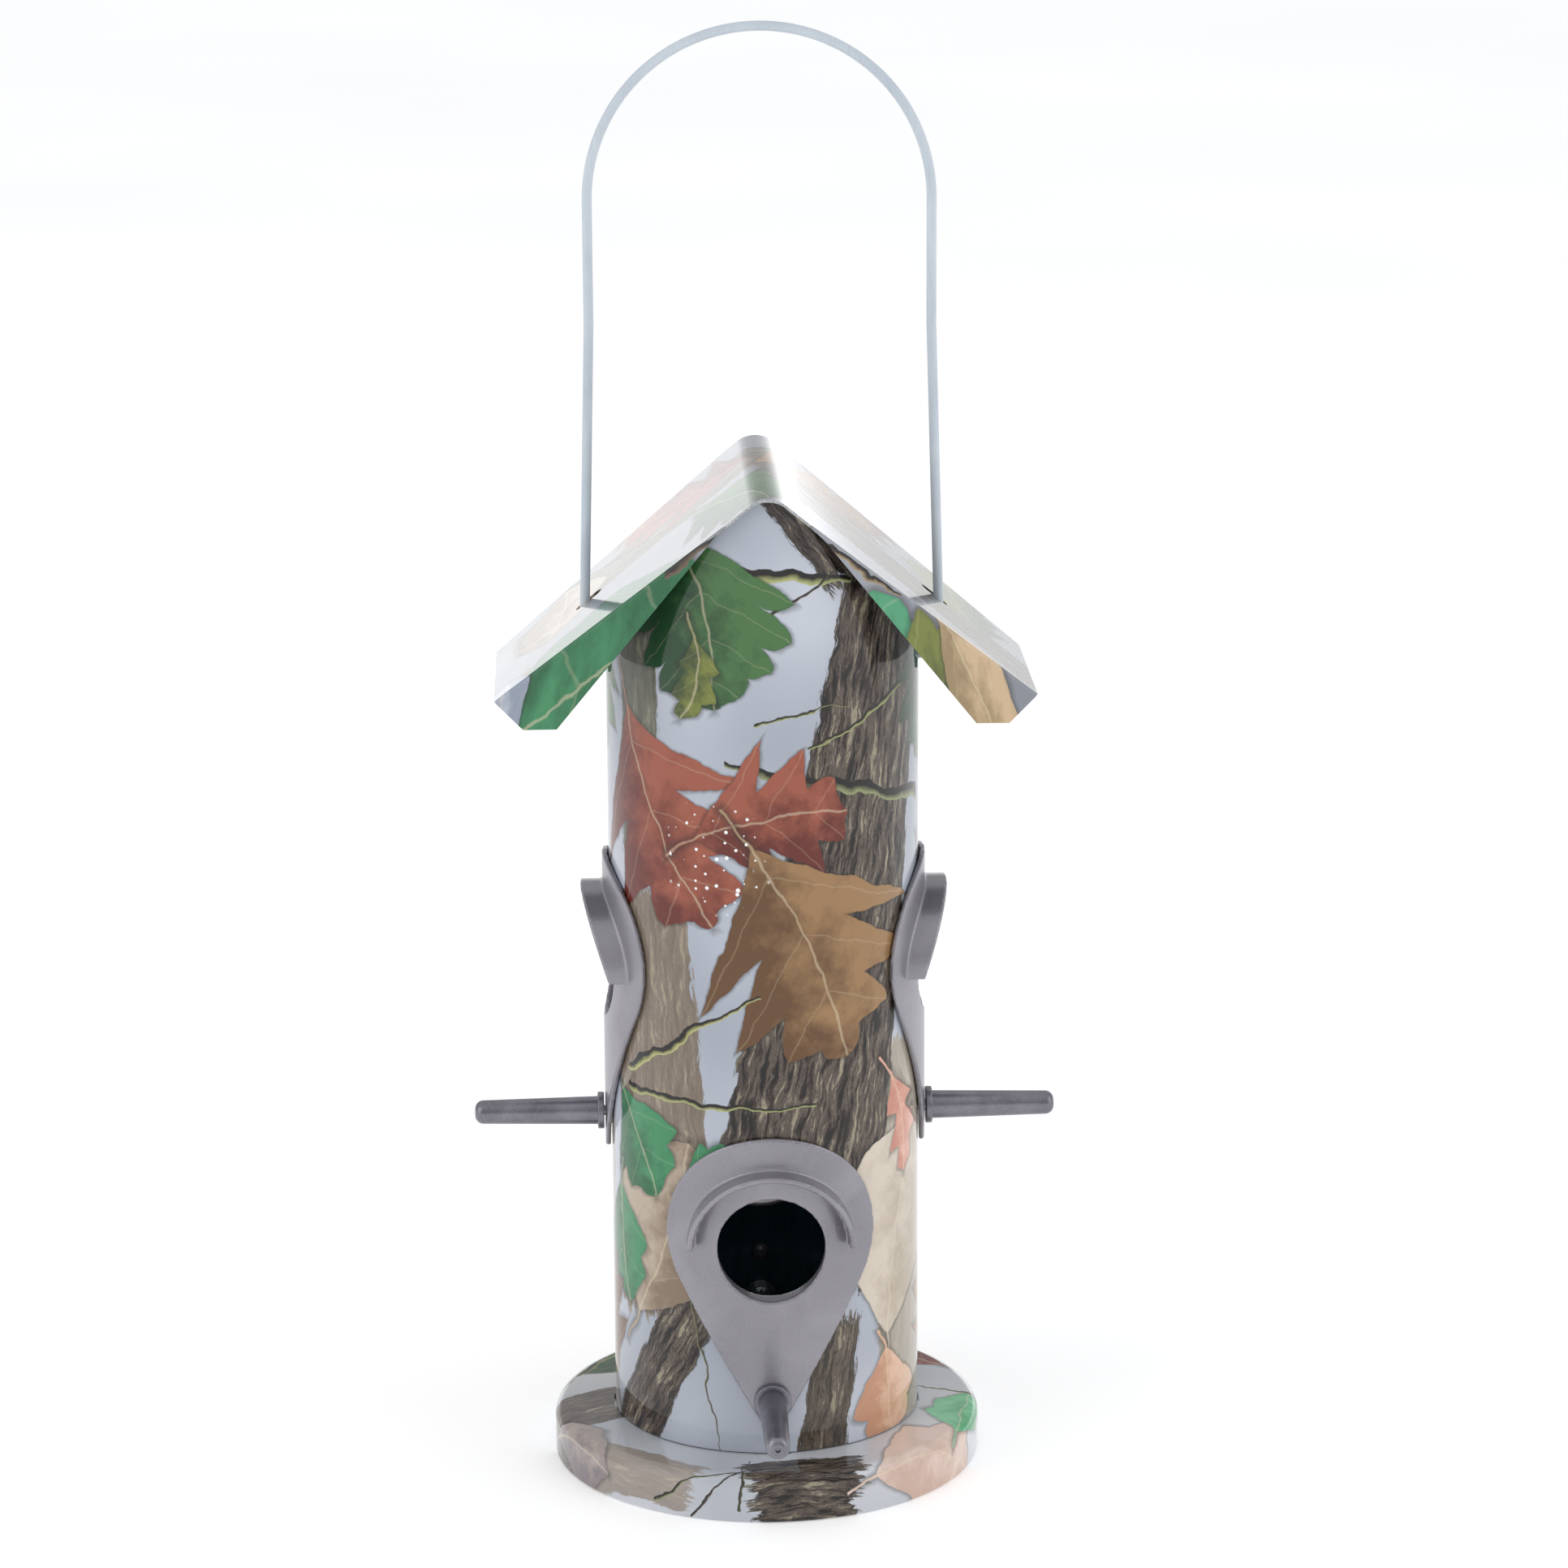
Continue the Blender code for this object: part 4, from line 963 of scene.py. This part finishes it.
bpy.ops.mesh.bisect(plane_co=(0, 0, 0), plane_no=(0, 0, 1), clear_inner=True)
rake = Vector((0.0, -HOOD_RADIUS, -(HOOD_REACH_TOP - HOOD_REACH_SIDE)))
bpy.ops.mesh.select_all(action="SELECT")
bpy.ops.mesh.bisect(plane_co=(0, -HOOD_REACH_SIDE, 0), plane_no=rake, clear_outer=True)
done()
modify(hood, "SOLIDIFY", thickness=HOOD_WALL, offset=-1.0)
cut(hood, cylinder("core", core_radius, 4 * HOOD_RADIUS, (0, 0, 0), TUBE_SIDES))
peg_end = TUBE_RADIUS - SHEET - 1.5 * GAP
peg = cylinder("peg", STAKE_RADIUS, core_radius - peg_end,
               (0, -(core_radius + peg_end) / 2, -STAKE_DROP), 24, FACING)
start()
bpy.ops.mesh.primitive_uv_sphere_add(segments=24, ring_count=12, radius=STAKE_HEAD,
                                     location=(0, -peg_end, -STAKE_DROP))
bpy.context.object.scale = (1.0, STAKE_HEAD_FLATNESS, 1.0)
head = named("peg_head")
select_all()
bpy.ops.mesh.bisect(plane_co=(0, -peg_end, 0), plane_no=(0, -1, 0), clear_outer=True, use_fill=True)
done()
port_shape = joined("port", [plate, sleeve, hood, peg, head])
modify(port_shape, "REMESH", mode="VOXEL", voxel_size=MOULD_GRAIN)
modify(port_shape, "SMOOTH", factor=0.5, iterations=4)
cut(port_shape, cylinder("hole", SCREW_HOLE, 4 * GAP + PLATE_OUTER - PLATE_INNER,
                         (0, -core_radius, -PERCH_DROP), 24, FACING))
merge(port_shape)
smooth(port_shape, 60)

# Satin ABS with a little metallic pigment: the mould's fine spark texture, about 0.3 mm,
# blurs its highlights, and the pigment gives it a warm violet-grey cast.
port_plastic, tree = blank("moulded_abs_satin_grey")
surface = add(tree, "TexCoord", out="Object")
flow = add(tree, "TexNoise", {"Vector": surface, "Scale": 55.0, "Detail": 3.0, "Distortion": 0.6})
fleck = add(tree, "TexNoise", {"Vector": surface, "Scale": 3200.0, "Detail": 1.0})
tone = calc(tree, "MULTIPLY_ADD", fleck, 0.35, calc(tree, "MULTIPLY", flow, 0.65))
colour = between(tree, tone, "#858289", "#9D9AA1")
rough = remap(tree, flow, (0.0, 1.0), (0.24, 0.34))
bump = add(tree, "Bump", {"Height": fleck, "Strength": 0.12, "Distance": 0.00005})
finish_with(tree, Base_Color=colour, Roughness=rough, Metallic=0.5, Normal=bump)
port_shape.data.materials.append(port_plastic)


def placed(shape, name, port):
    """A copy of a shape with its own mesh, turned and raised to a port's place."""
    degrees, rise = PORTS[port]
    start(shape)
    bpy.ops.object.duplicate()
    copy = bpy.context.object
    copy.rotation_euler = (0.0, 0.0, math.radians(degrees))
    copy.location = (0.0, 0.0, rise)
    bpy.ops.object.transform_apply(location=True, rotation=True, scale=True)
    copy.name = name
    return copy


for port in PORTS:
    piece = placed(port_shape, f"port_moulding_{port}", port)
    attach(piece, "tube")
    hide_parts(f"port_{port}")
bpy.data.objects.remove(port_shape, do_unlink=True)


# ---- Perches ----
# Turned metal pegs, four alike, each with a collar that sits on the port's tip, a slight
# taper, a rounded end with a lathe centre's dimple, and a blind bore for its screw.
PERCH_ROOT = PLATE_OUTER + GAP
PERCH_TIP = 0.0719
COLLAR_RADIUS = 0.0046
COLLAR_LENGTH = 0.0016
PERCH_ROOT_RADIUS = 0.0035
PERCH_TIP_RADIUS = 0.0029
PERCH_TIP_BEND = 0.00203
BORE_RADIUS = 0.0016
BORE_DEPTH = 0.0115
DIMPLE_RADIUS = 0.0007

perch_shape = cylinder("perch", COLLAR_RADIUS, COLLAR_LENGTH,
                       (0, -PERCH_ROOT - COLLAR_LENGTH / 2, -PERCH_DROP), 64, FACING)
pick(perch_shape, "polygons", lambda c, n: n.y < -0.9)
bpy.ops.mesh.inset(thickness=COLLAR_RADIUS - PERCH_ROOT_RADIUS)
run_out = PERCH_TIP - PERCH_ROOT - COLLAR_LENGTH
bpy.ops.mesh.extrude_region_move(TRANSFORM_OT_translate={"value": (0, -run_out, 0)})
taper = PERCH_TIP_RADIUS / PERCH_ROOT_RADIUS
bpy.ops.transform.resize(value=(taper, 1.0, taper), center_override=(0, -PERCH_TIP, -PERCH_DROP))
bpy.ops.mesh.inset(thickness=PERCH_TIP_RADIUS - DIMPLE_RADIUS)
bpy.ops.mesh.extrude_region_move(TRANSFORM_OT_translate={"value": (0, DIMPLE_RADIUS, 0)})
done()
pick(perch_shape, "polygons", lambda c, n: n.y > 0.9 and c.y > -PERCH_ROOT - GAP)
bpy.ops.mesh.inset(thickness=COLLAR_RADIUS - BORE_RADIUS)
bpy.ops.mesh.extrude_region_move(TRANSFORM_OT_translate={"value": (0, -BORE_DEPTH, 0)})
done()
pick(perch_shape, "edges", lambda c, n: c.y < -PERCH_TIP + GAP
     and abs(math.hypot(c.x, c.z + PERCH_DROP) - PERCH_TIP_RADIUS) < GAP)
bpy.ops.mesh.bevel(offset=PERCH_TIP_BEND, segments=8, affect="EDGES")
done()
pick(perch_shape, "edges", lambda c, n: c.y > -PERCH_ROOT - COLLAR_LENGTH - GAP
     and math.hypot(c.x, c.z + PERCH_DROP) > COLLAR_RADIUS - GAP and abs(n.y) < GAP)
bpy.ops.mesh.bevel(offset=COLLAR_LENGTH / 5, segments=4, affect="EDGES")
done()
merge(perch_shape, outwards=True)
smooth(perch_shape, 40)

# Gunmetal lacquer over turned steel: it is mottled every 5 mm or so, and a fine grain about
# 0.4 mm across breaks up its highlights.
perch_metal, tree = blank("gunmetal_lacquered_steel")
surface = add(tree, "TexCoord", out="Object")
mottle = add(tree, "TexNoise", {"Vector": surface, "Scale": 180.0, "Detail": 3.0})
fine = add(tree, "TexNoise", {"Vector": surface, "Scale": 2400.0, "Detail": 2.0})
tone = calc(tree, "MULTIPLY_ADD", fine, 0.4, calc(tree, "MULTIPLY", mottle, 0.6))
colour = between(tree, tone, "#6C6B73", "#8F8D96")
rough = remap(tree, tone, (0.0, 1.0), (0.22, 0.4))
bump = add(tree, "Bump", {"Height": fine, "Strength": 0.1, "Distance": 0.00005})
finish_with(tree, Base_Color=colour, Roughness=rough, Metallic=0.85, Normal=bump)
perch_shape.data.materials.append(perch_metal)
for port in PORTS:
    piece = placed(perch_shape, f"perch_peg_{port}", port)
    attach(piece, "tube")
    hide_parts(f"perch_{port}")
bpy.data.objects.remove(perch_shape, do_unlink=True)


# ---- Perch screws and washers ----
# Zinc-plated steel, driven from inside the tube into each perch.  These are the CAD's own
# solids: passivated zinc is a soft bluish silver with a faint spangle about 0.5 mm across.
zinc, tree = blank("zinc_plated_steel")
surface = add(tree, "TexCoord", out="Object")
spangle = add(tree, "TexVoronoi", {"Vector": surface, "Scale": 2000.0}, out="Color")
spangle = axis(tree, spangle, "X")
colour = add(tree, "ValToRGB", {0: spangle}, stops=((0.0, ink("#A9ADB2")), (1.0, ink("#CDD0D3"))))
rough = remap(tree, spangle, (0.0, 1.0), (0.25, 0.42))
finish_with(tree, Base_Color=colour, Roughness=rough, Metallic=1.0)
for name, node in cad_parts.items():
    if name.startswith(("perch_screw", "perch_washer")):
        node.data.materials.clear()
        node.data.materials.append(zinc)
